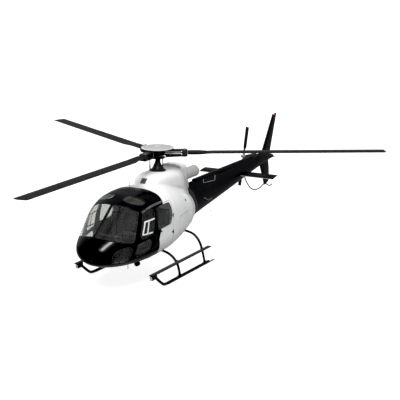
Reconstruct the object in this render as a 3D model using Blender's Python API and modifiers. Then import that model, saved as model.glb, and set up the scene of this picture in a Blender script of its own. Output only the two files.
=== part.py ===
"""Light single-engine utility helicopter on high skids: three-blade main rotor turning on a
star hub with a round cap, two-blade tail rotor on the starboard side, hollow glazed cabin with
four hinged doors, two baggage doors, engine cowling, tapered tail boom with fins and stabiliser.

Lengths are metres. The build frame has the rotor mast at Y = 0, nose toward -Y, port side +X
and the ground at Z = 0. AIRFRAME_SHIFT moves it all so that the bounding box is centred.
"""
import math

import bmesh
import bpy
from mathutils import Matrix, Vector

# Driving dimensions.
ROTOR_RADIUS = 6.20
TAIL_END_Y = 7.66
AIRFRAME_SHIFT = (ROTOR_RADIUS - TAIL_END_Y) / 2
SEAT_GAP = 0.0003
SHELL = 0.035
GLASS_OUT = 0.010
GLASS_IN = 0.016
HINGE_R = 0.009
DOOR_GAP = 0.011
RING_POINTS = 28

ROTOR_Z = 3.16
BLADE_CHORD = 0.33
BLADE_AZIMUTHS = (-90.0, 30.0, 150.0)
BLADE_ROOT_R = 0.82
CUFF_END_R = 1.45
PLATE_LOW = 3.081
PLATE_HIGH = 3.212

SERVOS = ((-0.178, -0.107), (-0.040, 0.200), (0.050, 0.195))

TAIL_HUB = (-0.363, 6.007, 1.947)
TAIL_RADIUS = 0.94
TAIL_CHORD = 0.185
TAIL_ANGLE = 75.0

STAB_LE_Y = 4.733
STAB_CHORD = 0.403
STAB_Z = 1.657
STAB_HALF_SPAN = 1.2625

SKID_X = 1.137
SKID_TUBE = 0.033
CROSS_TUBE = 0.030
FLOOR_TOP = 0.77
BULKHEAD_Y = -0.60
BOOM_JOINT_Y = 1.60

# Fuselage body: y, half width, low z, mid z, high z, upper exponent, lower exponent.
HULL = (
    (-3.385, 0.14, 1.02, 1.13, 1.25, 2.0, 2.0),
    (-3.345, 0.31, 0.91, 1.14, 1.37, 2.0, 2.0),
    (-3.250, 0.475, 0.82, 1.15, 1.49, 2.1, 2.1),
    (-3.090, 0.600, 0.75, 1.17, 1.61, 2.1, 2.2),
    (-2.880, 0.700, 0.69, 1.19, 1.765, 2.2, 2.3),
    (-2.600, 0.782, 0.64, 1.20, 1.985, 2.5, 2.4),
    (-2.290, 0.845, 0.605, 1.22, 2.215, 2.8, 2.5),
    (-2.000, 0.890, 0.585, 1.25, 2.330, 3.0, 2.6),
    (-1.600, 0.920, 0.575, 1.28, 2.385, 3.2, 2.7),
    (-1.150, 0.930, 0.585, 1.30, 2.395, 3.4, 2.7),
    (-0.600, 0.915, 0.610, 1.30, 2.365, 3.3, 2.6),
    (-0.100, 0.855, 0.685, 1.31, 2.250, 3.0, 2.5),
    (0.400, 0.750, 0.790, 1.33, 2.120, 2.6, 2.4),
    (0.850, 0.625, 0.880, 1.36, 2.020, 2.3, 2.3),
    (1.250, 0.495, 0.950, 1.38, 1.850, 2.1, 2.1),
    (1.600, 0.385, 1.010, 1.40, 2.000, 1.35, 2.0),
)

# Tail boom, same columns.
BOOM = (
    (1.6003, 0.365, 1.020, 1.39, 1.990, 1.4, 2.0),
    (2.600, 0.285, 1.135, 1.45, 1.975, 1.7, 2.0),
    (3.800, 0.230, 1.290, 1.55, 1.965, 1.7, 2.0),
    (5.000, 0.180, 1.445, 1.65, 1.960, 1.8, 2.0),
    (5.900, 0.150, 1.555, 1.74, 1.965, 1.9, 2.0),
    (6.300, 0.135, 1.600, 1.78, 2.010, 1.9, 2.0),
    (6.800, 0.105, 1.655, 1.79, 1.970, 1.9, 2.0),
    (7.200, 0.070, 1.700, 1.79, 1.890, 1.9, 2.0),
    (7.350, 0.035, 1.750, 1.79, 1.835, 2.0, 2.0),
)

# Engine and gearbox cowling, same columns.
COWL = (
    (-0.870, 0.12, 2.05, 2.28, 2.340, 2.2, 2.0),
    (-0.820, 0.18, 2.05, 2.34, 2.440, 2.3, 2.0),
    (-0.760, 0.235, 2.05, 2.38, 2.515, 2.4, 2.0),
    (-0.660, 0.300, 2.05, 2.40, 2.600, 2.6, 2.0),
    (-0.420, 0.385, 2.00, 2.40, 2.662, 3.0, 2.0),
    (0.000, 0.445, 1.95, 2.40, 2.675, 3.6, 2.0),
    (0.500, 0.445, 1.85, 2.36, 2.680, 3.6, 2.0),
    (0.900, 0.385, 1.70, 2.30, 2.670, 3.2, 2.2),
    (1.200, 0.300, 1.60, 2.20, 2.630, 2.8, 2.4),
    (1.400, 0.210, 1.55, 2.10, 2.500, 2.4, 2.4),
    (1.510, 0.140, 1.50, 2.06, 2.340, 2.2, 2.2),
)

# Outlines seen from the side: y, z.
NOSE_REGION = ((-3.70, 1.642), (-2.40, 1.257), (-2.40, 0.30), (-3.70, 0.30))
FRONT_OPENING = ((-1.645, 0.790), (-1.645, 1.450), (-1.520, 2.100), (-2.030, 2.095),
                 (-2.100, 2.030), (-2.250, 1.740), (-2.370, 1.400), (-2.513, 1.180),
                 (-2.590, 1.040), (-2.600, 0.930), (-2.520, 0.830), (-2.350, 0.790))
REAR_OPENING = ((-0.780, 0.790), (-0.780, 2.100), (-1.460, 2.100), (-1.585, 1.450),
                (-1.585, 0.790))
FRONT_WINDOW = ((-2.125, 1.910), (-2.000, 2.040), (-1.760, 2.055), (-1.640, 2.030),
                (-1.650, 1.900), (-1.715, 1.700), (-1.790, 1.420), (-2.063, 1.378),
                (-2.245, 1.368), (-2.310, 1.470))
FRONT_LOW_WINDOW = ((-2.410, 1.275), (-2.180, 1.300), (-1.930, 1.318), (-1.850, 1.250),
                    (-1.931, 1.044), (-2.129, 0.963), (-2.395, 0.936), (-2.500, 1.030))
REAR_WINDOW = ((-1.500, 2.035), (-1.300, 2.060), (-0.950, 2.030), (-0.860, 1.900),
               (-0.845, 1.719), (-0.908, 1.521), (-1.331, 1.470), (-1.550, 1.470),
               (-1.555, 1.700))
BAGGAGE_OPENING = ((-0.380, 1.020), (0.340, 1.020), (0.340, 1.560), (-0.380, 1.560))

# Middle line of the front grille on the sloping cowling, bottom to top: y, z.
GRILLE_LINE = ((-0.812, 2.452), (-0.690, 2.570))

# Outlines seen from the front: x, z (port side).
WINDSCREEN = ((0.028, 1.545), (0.300, 1.520), (0.450, 1.490), (0.676, 1.405), (0.785, 1.345),
              (0.797, 1.420), (0.790, 1.560), (0.758, 1.820), (0.695, 2.050), (0.450, 2.165),
              (0.200, 2.200), (0.028, 2.200))
# Outline seen from above: x, y (port side).
ROOF_WINDOW = ((0.155, -1.950), (0.171, -2.060), (0.285, -2.126), (0.449, -2.121),
               (0.594, -2.039), (0.662, -1.923), (0.665, -1.790), (0.600, -1.755),
               (0.373, -1.811), (0.207, -1.845))
# Corners of the chin window on the body, seen along CHIN_AXIS (port side).
CHIN_AXIS = (0.76, -0.62, -0.20)
CHIN_CENTRE = (0.62, -2.85, 1.05)
CHIN_POINTS = ((0.484, -3.141, 1.077), (0.529, -3.099, 1.194), (0.617, -2.952, 1.266),
               (0.729, -2.700, 1.276), (0.772, -2.610, 1.180), (0.755, -2.620, 1.066),
               (0.688, -2.665, 0.925), (0.614, -2.720, 0.857), (0.506, -2.962, 0.870),
               (0.459, -3.084, 0.925))

HIDDEN = []


def parts_home():
    """The collection that holds the helicopter's pieces."""
    home = bpy.data.collections.get("helicopter")
    if home is None:
        home = bpy.data.collections.new("helicopter")
        bpy.context.scene.collection.children.link(home)
    return home


def new_object(name, verts, faces, side=1.0):
    """Make a mesh object from points and faces; side -1 mirrors it across the middle."""
    mesh = bpy.data.meshes.new(name)
    mesh.from_pydata([(side * v[0], v[1], v[2]) for v in verts], [], faces)
    bm = bmesh.new()
    bm.from_mesh(mesh)
    bmesh.ops.recalc_face_normals(bm, faces=bm.faces)
    bm.to_mesh(mesh)
    bm.free()
    obj = bpy.data.objects.new(name, mesh)
    parts_home().objects.link(obj)
    return obj


def cutter(obj):
    """Move a helper into the cutters collection and hide it from the render."""
    store = bpy.data.collections.get("cutters")
    if store is None:
        store = bpy.data.collections.new("cutters")
        bpy.context.scene.collection.children.link(store)
    for home in list(obj.users_collection):
        home.objects.unlink(obj)
    store.objects.link(obj)
    obj.hide_render = True
    obj.display_type = 'WIRE'
    HIDDEN.append(obj)
    return obj


def combine(obj, other, how):
    """Add an exact boolean modifier."""
    mod = obj.modifiers.new(how.lower(), 'BOOLEAN')
    mod.operation = how
    mod.solver = 'EXACT'
    mod.object = other
    return obj


def ring(row, count=RING_POINTS):
    """Cross-section points of one station row."""
    y, half, low, mid, high, n_up, n_low = row
    points = []
    for k in range(count):
        t = 2 * math.pi * k / count
        c, s = math.cos(t), math.sin(t)
        n = n_up if s >= 0 else n_low
        x = half * math.copysign(abs(c) ** (2 / n), c)
        rise = (high - mid) if s >= 0 else (mid - low)
        z = mid + rise * math.copysign(abs(s) ** (2 / n), s)
        points.append(Vector((x, y, z)))
    return points


def loft_faces(rows, count):
    """Triangles over stacked rings, diagonals mirrored about the middle plane."""
    faces = []
    for r in range(rows - 1):
        for k in range(count):
            a, b = r * count + k, r * count + (k + 1) % count
            c, d = b + count, a + count
            if math.cos(2 * math.pi * (k + 0.5) / count) >= 0:
                faces += [(a, b, c), (a, c, d)]
            else:
                faces += [(a, b, d), (b, c, d)]
    faces.append(tuple(range(count - 1, -1, -1)))
    faces.append(tuple(range((rows - 1) * count, rows * count)))
    return faces


def shell(name, table, inset=0.0, first_shift=True, count=RING_POINTS):
    """Closed loft over a station table, moved inward by inset along its normals."""
    rings = [ring(row, count) for row in table]
    moved = []
    for r, points in enumerate(rings):
        before, after = rings[max(r - 1, 0)], rings[min(r + 1, len(rings) - 1)]
        line = []
        for k, p in enumerate(points):
            around = points[(k + 1) % count] - points[k - 1]
            along = after[k] - before[k]
            normal = around.cross(along)
            if normal.length > 1e-9:
                normal.normalize()
            line.append(p - normal * -inset if normal.dot(p - centre(points)) < 0
                        else p - normal * inset)
        moved.append(line)
    if inset and first_shift:
        push = inset if inset > 0 else inset
        for p in moved[0]:
            p.y = table[0][0] + push
    verts = [p for line in moved for p in line]
    return new_object(name, verts, loft_faces(len(rings), count))


def centre(points):
    total = Vector((0, 0, 0))
    for p in points:
        total += p
    return total / len(points)


def surface_x(table, y, z):
    """Half width of the loft at a height, on the port side."""
    for a, b in zip(table, table[1:]):
        if a[0] <= y <= b[0]:
            f = (y - a[0]) / (b[0] - a[0])
            row = [a[i] + f * (b[i] - a[i]) for i in range(7)]
            rise = (row[4] - row[3]) if z >= row[3] else (row[3] - row[2])
            n = row[5] if z >= row[3] else row[6]
            part = min(1.0, abs(z - row[3]) / rise)
            return row[1] * (1 - part ** n) ** (1 / n)
    return 0.0


def mesh_from_curve(curve_obj):
    """Turn a curve object into a closed mesh object with welded caps."""
    name = curve_obj.name
    bpy.context.view_layer.update()
    graph = bpy.context.evaluated_depsgraph_get()
    mesh = bpy.data.meshes.new_from_object(curve_obj.evaluated_get(graph))
    bm = bmesh.new()
    bm.from_mesh(mesh)
    bmesh.ops.remove_doubles(bm, verts=bm.verts, dist=1e-6)
    bmesh.ops.recalc_face_normals(bm, faces=bm.faces)
    bm.to_mesh(mesh)
    bm.free()
    place = curve_obj.matrix_world.copy()
    data = curve_obj.data
    bpy.data.objects.remove(curve_obj)
    bpy.data.curves.remove(data)
    mesh.name = name
    obj = bpy.data.objects.new(name, mesh)
    obj.matrix_world = place
    parts_home().objects.link(obj)
    return obj


def reshape(obj, matrix):
    """Move a mesh's points by a matrix and keep its faces pointing out."""
    obj.data.transform(matrix)
    if matrix.determinant() < 0:
        obj.data.flip_normals()
    return obj


def mirror_of(side):
    return Matrix.Diagonal((side, 1.0, 1.0, 1.0))


def flat_piece(name, flat, low, high, matrix):
    """Filled 2D outline, extruded between two heights and placed by a matrix."""
    data = bpy.data.curves.new(name, 'CURVE')
    data.dimensions = '2D'
    data.fill_mode = 'BOTH'
    data.extrude = (high - low) / 2
    spline = data.splines.new('POLY')
    spline.points.add(len(flat) - 1)
    for point, (a, b) in zip(spline.points, flat):
        point.co = (a, b, 0.0, 1.0)
    spline.use_cyclic_u = True
    curve = bpy.data.objects.new(name, data)
    parts_home().objects.link(curve)
    return reshape(mesh_from_curve(curve),
                   matrix @ Matrix.Translation((0.0, 0.0, (low + high) / 2)))


def basis(x_way, y_way, z_way, origin=(0.0, 0.0, 0.0)):
    """Matrix that takes local X, Y and Z to three directions from an origin."""
    turn = Matrix((x_way, y_way, z_way)).transposed().to_4x4()
    return Matrix.Translation(origin) @ turn


def prism(name, outline, along, side=1.0, grow=0.0, lo=-1.5, hi=1.5):
    """Straight prism: outline is y,z for along X, x,z for along Y, x,y for along Z."""
    place = {'X': basis((0, 1, 0), (0, 0, 1), (1, 0, 0)),
             'Y': basis((1, 0, 0), (0, 0, 1), (0, 1, 0)),
             'Z': basis((1, 0, 0), (0, 1, 0), (0, 0, 1))}[along]
    return flat_piece(name, offset_outline(outline, grow), lo, hi, mirror_of(side) @ place)


def skew_prism(name, corners, origin, axis, side=1.0, grow=0.0, reach=0.45):
    """Prism along a slanted axis through corner points, with rounded edges."""
    axis = Vector(axis).normalized()
    across = Vector((0, 0, 1)).cross(axis).normalized()
    up = axis.cross(across)
    origin = Vector(origin)
    seen = [((Vector(p) - origin).dot(across), (Vector(p) - origin).dot(up)) for p in corners]
    flat = offset_outline(rounded(seen, 0.05), grow)
    return flat_piece(name, flat, -reach, reach,
                      mirror_of(side) @ basis(across, up, axis, origin))


def offset_outline(outline, grow):
    """Grow (or with a negative value shrink) a flat outline by a distance."""
    if not grow:
        return list(outline)
    count = len(outline)
    area = sum(outline[k][0] * outline[(k + 1) % count][1]
               - outline[(k + 1) % count][0] * outline[k][1] for k in range(count))
    turn = 1.0 if area > 0 else -1.0
    result = []
    for k in range(count):
        p, q, r = outline[k - 1], outline[k], outline[(k + 1) % count]
        a = Vector((q[0] - p[0], q[1] - p[1])).normalized()
        b = Vector((r[0] - q[0], r[1] - q[1])).normalized()
        na, nb = Vector((a.y, -a.x)) * turn, Vector((b.y, -b.x)) * turn
        mid = (na + nb) / (1 + na.dot(nb))
        result.append((q[0] + mid.x * grow, q[1] + mid.y * grow))
    return result


def rounded(outline, radius=0.05, steps=2):
    """Round the corners of a flat outline with short arcs."""
    result = []
    count = len(outline)
    for k in range(count):
        p, q, r = (Vector(outline[k - 1]), Vector(outline[k]),
                   Vector(outline[(k + 1) % count]))
        a, b = p - q, r - q
        cut = min(radius, a.length * 0.45, b.length * 0.45)
        start, end = q + a.normalized() * cut, q + b.normalized() * cut
        for i in range(steps + 1):
            f = i / steps
            point = start * (1 - f) ** 2 + q * 2 * f * (1 - f) + end * f * f
            result.append((point.x, point.y))
    return result


def primitive(name, make, matrix, **sizes):
    """Object from one of bmesh's primitives, placed by a matrix."""
    mesh = bpy.data.meshes.new(name)
    bm = bmesh.new()
    make(bm, matrix=matrix, **sizes)
    bmesh.ops.recalc_face_normals(bm, faces=bm.faces)
    bm.to_mesh(mesh)
    bm.free()
    obj = bpy.data.objects.new(name, mesh)
    parts_home().objects.link(obj)
    return obj


def box(name, lo, hi, side=1.0):
    """Cuboid between two corners; side -1 puts it on the other side of the middle."""
    size = [b - a for a, b in zip(lo, hi)]
    middle = ((lo[0] + hi[0]) / 2 * side, (lo[1] + hi[1]) / 2, (lo[2] + hi[2]) / 2)
    return primitive(name, bmesh.ops.create_cube,
                     Matrix.Translation(middle) @ Matrix.Diagonal((*size, 1.0)), size=1.0)


def bevel(obj, width, segments=1):
    mod = obj.modifiers.new("bevel", 'BEVEL')
    mod.width = width
    mod.segments = segments
    mod.limit_method = 'ANGLE'
    mod.angle_limit = math.radians(40)
    return obj


def lathe(name, profile, origin, axis='Z', sides=24):
    """Turned solid; profile is radius, height along the axis, outer side bottom to top."""
    bm = bmesh.new()
    points = []
    for radius, height in profile:
        points.append(bm.verts.new({'Z': (radius, 0, height), 'Y': (radius, height, 0),
                                    'X': (height, 0, radius)}[axis]))
    open_ended = profile[0][0] == 0 and profile[-1][0] == 0
    for k in range(len(points) - open_ended):
        bm.edges.new((points[k], points[(k + 1) % len(points)]))
    mesh = bpy.data.meshes.new(name)
    bm.to_mesh(mesh)
    bm.free()
    obj = bpy.data.objects.new(name, mesh)
    obj.location = origin
    parts_home().objects.link(obj)
    screw = obj.modifiers.new("screw", 'SCREW')
    screw.axis = axis
    screw.steps = sides
    screw.render_steps = sides
    screw.use_merge_vertices = True
    screw.merge_threshold = 0.00001
    screw.use_normal_calculate = True
    return obj


def disc(name, radius, low, high, origin, axis='Z', sides=20, side=1.0):
    """Plain cylinder along an axis between two heights."""
    middle = (low + high) / 2
    offset = {'Z': (0, 0, middle), 'Y': (0, middle, 0), 'X': (middle, 0, 0)}[axis]
    turn = {'Z': Matrix(), 'Y': Matrix.Rotation(math.pi / 2, 4, 'X'),
            'X': Matrix.Rotation(math.pi / 2, 4, 'Y')}[axis]
    at = Matrix.Translation((Vector(origin) + Vector(offset)) * Vector((side, 1, 1)))
    return primitive(name, bmesh.ops.create_cone, at @ turn, cap_ends=True, segments=sides,
                     radius1=radius, radius2=radius, depth=high - low)


def tube(name, points, radius, sides=10, side=1.0, spin=0.0):
    """Round bar: a bevelled curve along a chain of points; spin is in steps of its sides."""
    data = bpy.data.curves.new(name, 'CURVE')
    data.dimensions = '3D'
    data.bevel_depth = radius
    data.bevel_resolution = sides // 2 - 2
    data.use_fill_caps = True
    spline = data.splines.new('POLY')
    spline.points.add(len(points) - 1)
    for point, (x, y, z) in zip(spline.points, points):
        point.co = (side * x, y, z, 1.0)
        point.tilt = 2 * math.pi * spin / sides
    curve = bpy.data.objects.new(name, data)
    parts_home().objects.link(curve)
    return mesh_from_curve(curve)


def bar_prism(name, outline, origin, out, up, low, high, side=1.0):
    """Prism whose outline is out and up from an axis point, running along out x up."""
    out, up = Vector(out).normalized(), Vector(up)
    along = out.cross(up).normalized()
    return flat_piece(name, outline, low, high, mirror_of(side) @ basis(out, up, along, origin))


def upright_hinge(name, door, frame, pivot, heights, arm, lug, side):
    """Barrel and arm on the door, two lugs on the frame, at each height of a vertical axis."""
    x, y = pivot
    for number, z in enumerate(heights):
        tag = "%s_%d" % (name, number)
        combine(door, cutter(disc(tag + "_barrel", HINGE_R, z - 0.052, z + 0.052, (x, y, 0), 'Z',
                                  12, side)), 'UNION')
        combine(door, cutter(prism(tag + "_arm", arm, 'Z', side, 0.0, z - 0.022, z + 0.022)),
                'UNION')
        for word, low in (("low", z - 0.052), ("top", z + 0.028)):
            (x0, y0), (x1, y1) = lug
            x0 = min(x0, surface_x(HULL, y0, low) - 0.008)
            combine(frame, cutter(box(tag + "_lug_" + word, (x0, y0, low), (x1, y1, low + 0.024),
                                      side)), 'UNION')


def foil(chord, thick, steps=7):
    """Symmetric aerofoil outline: distance behind the leading edge, height."""
    upper = []
    for i in range(steps + 1):
        x = (1 - math.cos(math.pi * i / steps)) / 2
        t = 5 * (0.2969 * math.sqrt(x) - 0.126 * x - 0.3516 * x * x + 0.2843 * x ** 3
                 - 0.1015 * x ** 4)
        upper.append((x * chord, max(t * thick, 0.001 if i else 0.0)))
    lower = [(x, -z) for x, z in reversed(upper[1:])]
    return upper + lower


def foil_loft(name, sections, side=1.0, grow=0.0):
    """Loft of aerofoil sections.

    Each section is its leading edge point, chord vector, thickness vector and thickness.
    """
    verts, faces = [], []
    count = 0
    for lead, chord_way, thick_way, chord, thick in sections:
        lead, chord_way, thick_way = Vector(lead), Vector(chord_way), Vector(thick_way)
        outline = foil(chord, thick)
        if grow:
            outline = offset_outline(outline, grow)
        count = len(outline)
        for a, b in outline:
            verts.append(lead + chord_way * a + thick_way * b)
    rows = len(sections)
    for r in range(rows - 1):
        for k in range(count):
            j = (k + 1) % count
            a, b = r * count + k, r * count + j
            faces += [(a, b, b + count), (a, b + count, a + count)]
    faces.append(tuple(range(count - 1, -1, -1)))
    faces.append(tuple(range((rows - 1) * count, rows * count)))
    return new_object(name, verts, faces, side)


def turned(obj, pivot, angle):
    """Turn a mesh's points about the vertical line through a pivot, in degrees."""
    c, s = math.cos(math.radians(angle)), math.sin(math.radians(angle))
    for v in obj.data.vertices:
        x, y = v.co.x - pivot[0], v.co.y - pivot[1]
        v.co.x, v.co.y = pivot[0] + c * x - s * y, pivot[1] + s * x + c * y
    return obj


def paint(obj, colour, rough=0.4, metal=0.0):
    """Give a piece its own material, and shade its round faces smooth."""
    obj.data.shade_smooth()
    obj.data.set_sharp_from_angle(angle=math.radians(30))
    mat = bpy.data.materials.new(obj.name)
    mat.use_nodes = True
    base = mat.node_tree.nodes["Principled BSDF"]
    base.inputs["Base Color"].default_value = (*colour, 1.0)
    base.inputs["Roughness"].default_value = rough
    base.inputs["Metallic"].default_value = metal
    obj.data.materials.clear()
    obj.data.materials.append(mat)
    return obj


BLACK = (0.012, 0.012, 0.013)
WHITE = (0.86, 0.86, 0.84)
GLASS = (0.16, 0.165, 0.17)
STEEL = (0.55, 0.56, 0.57)
GREY = (0.25, 0.25, 0.26)
DARK = (0.03, 0.03, 0.032)


def build_cabin(parent_moving):
    core = cutter(shell("core_cut", HULL, SHELL))
    glass_out = cutter(shell("glass_out_cut", HULL, GLASS_OUT))
    glass_in = cutter(shell("glass_in_cut", HULL, GLASS_IN))
    nose_region = cutter(prism("nose_region", NOSE_REGION, 'X'))

    windows = {}
    for side, word in ((1.0, "left"), (-1.0, "right")):
        windows["screen", word] = cutter(prism("screen_cut_" + word, rounded(WINDSCREEN, 0.03),
                                               'Y', side, 0.0, -3.6, -1.9))
        windows["roof", word] = cutter(prism("roof_cut_" + word, rounded(ROOF_WINDOW, 0.06), 'Z',
                                             side, 0.0, 2.0, 2.6))
        windows["chin", word] = cutter(skew_prism("chin_cut_" + word, CHIN_POINTS,
                                                  CHIN_CENTRE, CHIN_AXIS, side, 0.0, 0.25))
        windows["front", word] = cutter(prism("front_cut_" + word, rounded(FRONT_OPENING, 0.05),
                                              'X', side, 0.0, 0.30, 1.3))
        windows["rear", word] = cutter(prism("rear_cut_" + word, rounded(REAR_OPENING, 0.05),
                                             'X', side, 0.0, 0.30, 1.3))

    nose = shell("nose_shell", HULL)
    combine(nose, nose_region, 'INTERSECT')
    combine(nose, core, 'DIFFERENCE')
    for word in ("left", "right"):
        combine(nose, windows["chin", word], 'DIFFERENCE')
        combine(nose, windows["front", word], 'DIFFERENCE')
    paint(nose, BLACK, 0.12)

    frame = shell("canopy_frame", HULL)
    upper = cutter(prism("upper_region", (
        (-3.70, 1.6424), (-2.3997, 1.2573), (-2.3997, FLOOR_TOP + SEAT_GAP),
        (BULKHEAD_Y - SEAT_GAP, FLOOR_TOP + SEAT_GAP), (BULKHEAD_Y - SEAT_GAP, 2.70),
        (-3.70, 2.70)), 'X'))
    combine(frame, upper, 'INTERSECT')
    combine(frame, core, 'DIFFERENCE')
    for word in ("left", "right"):
        for kind in ("screen", "roof", "front", "rear"):
            combine(frame, windows[kind, word], 'DIFFERENCE')
    paint(frame, BLACK, 0.15)

    floor = shell("cabin_floor", HULL)
    low = cutter(prism("floor_region", (
        (-2.3997, 0.30), (-2.3997, FLOOR_TOP), (BULKHEAD_Y - SEAT_GAP, FLOOR_TOP),
        (BULKHEAD_Y - SEAT_GAP, 0.30)), 'X'))
    combine(floor, low, 'INTERSECT')
    toe = shell("toe_board", HULL, SHELL + SEAT_GAP)
    toe_region = cutter(prism("toe_region", ((-3.02, 0.30), (-3.02, 0.80), (-2.95, FLOOR_TOP),
                                             (-2.36, FLOOR_TOP), (-2.36, 0.30)), 'X'))
    combine(toe, toe_region, 'INTERSECT')
    combine(floor, cutter(toe), 'UNION')
    combine(floor, cutter(tube("front_tunnel", cross_points("front"), CROSS_TUBE + SEAT_GAP)),
            'DIFFERENCE')
    paint(floor, BLACK, 0.3)

    for side, word in ((1.0, "left"), (-1.0, "right")):
        pane = shell("windscreen_" + word, HULL, GLASS_OUT)
        combine(pane, glass_in, 'DIFFERENCE')
        combine(pane, cutter(prism("screen_pane_" + word, rounded(WINDSCREEN, 0.03), 'Y', side,
                                   -0.0005, -3.6, -1.9)), 'INTERSECT')
        paint(pane, GLASS, 0.05)
        pane = shell("roof_window_" + word, HULL, GLASS_OUT)
        combine(pane, glass_in, 'DIFFERENCE')
        combine(pane, cutter(prism("roof_pane_" + word, rounded(ROOF_WINDOW, 0.06), 'Z', side,
                                   -0.0005, 2.0, 2.6)), 'INTERSECT')
        paint(pane, GLASS, 0.05)
        pane = shell("chin_window_" + word, HULL, GLASS_OUT)
        combine(pane, glass_in, 'DIFFERENCE')
        combine(pane, cutter(skew_prism("chin_pane_" + word, CHIN_POINTS,
                                        CHIN_CENTRE, CHIN_AXIS, side, -0.0005, 0.25)),
                'INTERSECT')
        paint(pane, GLASS, 0.05)

        for kind, outline, panes in (
                ("front", FRONT_OPENING, (FRONT_WINDOW, FRONT_LOW_WINDOW)),
                ("rear", REAR_OPENING, (REAR_WINDOW,))):
            door = shell("door_%s_%s" % (kind, word), HULL)
            combine(door, cutter(prism("door_%s_%s_edge" % (kind, word), rounded(outline, 0.05),
                                       'X', side, -DOOR_GAP, 0.30, 1.3)), 'INTERSECT')
            combine(door, core, 'DIFFERENCE')
            for number, window in enumerate(panes):
                combine(door, cutter(prism("door_%s_%s_hole%d" % (kind, word, number),
                                           rounded(window, 0.06), 'X', side, 0.0, 0.30, 1.3)),
                        'DIFFERENCE')
            if kind == "front":
                upright_hinge("front_hinge_" + word, door, nose, (0.770, -2.602), (0.950,),
                              ((0.761, -2.602), (0.779, -2.602), (0.790, -2.490),
                               (0.740, -2.490), (0.740, -2.560), (0.758, -2.585)),
                              ((0.778, -2.632), (0.778, -2.602 - HINGE_R - SEAT_GAP)), side)
            else:
                upright_hinge("rear_hinge_" + word, door, frame, (0.938, -0.785), (1.25, 1.70),
                              ((0.926, -0.785), (0.947, -0.785), (0.942, -0.870),
                               (0.900, -0.870), (0.910, -0.802)),
                              ((0.895, -0.785 + HINGE_R + SEAT_GAP), (0.946, -0.745)), side)
            paint(door, BLACK if kind == "front" else WHITE, 0.15)
            sheet = shell("glass_%s_%s" % (kind, word), HULL, SHELL + SEAT_GAP)
            inner = cutter(shell("sheet_core_%s_%s" % (kind, word), HULL, SHELL + 0.0065))
            combine(sheet, inner, 'DIFFERENCE')
            cover = GLAZING[kind]
            combine(sheet, cutter(prism("sheet_%s_%s_edge" % (kind, word), rounded(cover, 0.06),
                                        'X', side, 0.0, 0.30, 1.3)), 'INTERSECT')
            paint(sheet, GLASS, 0.05)
            parent_moving("door_%s_%s" % (kind, word), door, sheet)


# Sheets of door glass, bonded to the inside of each door: y, z.
GLAZING = {
    "front": ((-1.690, 1.450), (-1.590, 2.070), (-2.020, 2.070), (-2.100, 2.000),
              (-2.340, 1.420), (-2.540, 1.100), (-2.530, 0.960), (-2.440, 0.900),
              (-2.100, 0.910), (-1.800, 1.020), (-1.720, 1.250)),
    "rear": ((-0.870, 1.420), (-0.810, 1.720), (-0.830, 1.920), (-0.930, 2.070),
             (-1.510, 2.070), (-1.570, 1.750), (-1.572, 1.420)),
}


def cross_points(which):
    """Centre line of a landing-gear cross tube, starboard end to port end."""
    lines = {
        "front": (-0.80, ((0.0, 0.690), (0.50, 0.690), (0.66, 0.668), (0.80, 0.620),
                          (0.93, 0.535), (1.02, 0.430), (1.075, 0.320), (1.11, 0.180),
                          (1.133, 0.040))),
        "rear": (0.60, ((0.0, 0.950), (0.40, 0.930), (0.54, 0.885), (0.68, 0.820),
                        (0.83, 0.725), (0.96, 0.600), (1.05, 0.450), (1.095, 0.290),
                        (1.133, 0.040))),
    }
    y, half = lines[which]
    points = [(-x, y, z) for x, z in reversed(half[1:])]
    return points + [(x, y, z) for x, z in half]


def build_interior():
    console = box("instrument_console", (-0.12, -2.46, FLOOR_TOP + SEAT_GAP),
                  (0.12, -1.98, 1.02))
    panel = cutter(bevel(box("panel_part", (-0.33, -2.66, 1.10), (0.33, -2.50, 1.46)), 0.03))
    neck = cutter(box("panel_neck", (-0.115, -2.60, FLOOR_TOP + SEAT_GAP),
                      (0.115, -2.40, 1.20)))
    combine(console, neck, 'UNION')
    combine(console, panel, 'UNION')
    paint(console, DARK, 0.6)

    for side, word in ((1.0, "left"), (-1.0, "right")):
        seat = bevel(box("seat_front_" + word, (0.20, -2.02, 0.95), (0.62, -1.48, 1.09), side),
                     0.04)
        base = cutter(box("seat_base_" + word, (0.27, -1.93, FLOOR_TOP + SEAT_GAP),
                          (0.55, -1.55, 0.97), side))
        back = cutter(bevel(slanted("seat_back_" + word, (0.21, 0.61), -1.56, 1.02, -1.44, 1.78,
                                    0.10, side), 0.035))
        combine(seat, base, 'UNION')
        combine(seat, back, 'UNION')
        paint(seat, GREY, 0.8)
    bench = bevel(box("rear_bench", (-0.74, -1.20, 0.96), (0.74, -0.70, 1.10)), 0.04)
    combine(bench, cutter(box("bench_base", (-0.62, -1.12, FLOOR_TOP + SEAT_GAP),
                              (0.62, -0.72, 0.98))), 'UNION')
    combine(bench, cutter(bevel(slanted("bench_back", (-0.72, 0.72), -0.79, 1.04, -0.715, 1.80,
                                        0.09, 1.0), 0.035)), 'UNION')
    paint(bench, GREY, 0.8)


def slanted(name, across, y_low, z_low, y_high, z_high, deep, side):
    """Seat back: a slab leaning aft as it rises."""
    return prism(name, ((y_low, z_low), (y_low + deep, z_low), (y_high + deep, z_high),
                        (y_high, z_high)), 'X', side, 0.0, across[0], across[1])


def on_grille(name, half, start, end, inner, outer):
    """Block on the grille's line, between two shares of it and two depths below its surface."""
    foot, top = Vector(GRILLE_LINE[0]), Vector(GRILLE_LINE[1])
    line = top - foot
    out = Vector((-line.y, line.x)).normalized()
    corners = [foot + line * share + out * depth
               for share, depth in ((start, outer), (end, outer), (end, inner), (start, inner))]
    return prism(name, [tuple(c) for c in corners], 'X', 1.0, 0.0, -half, half)


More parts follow.
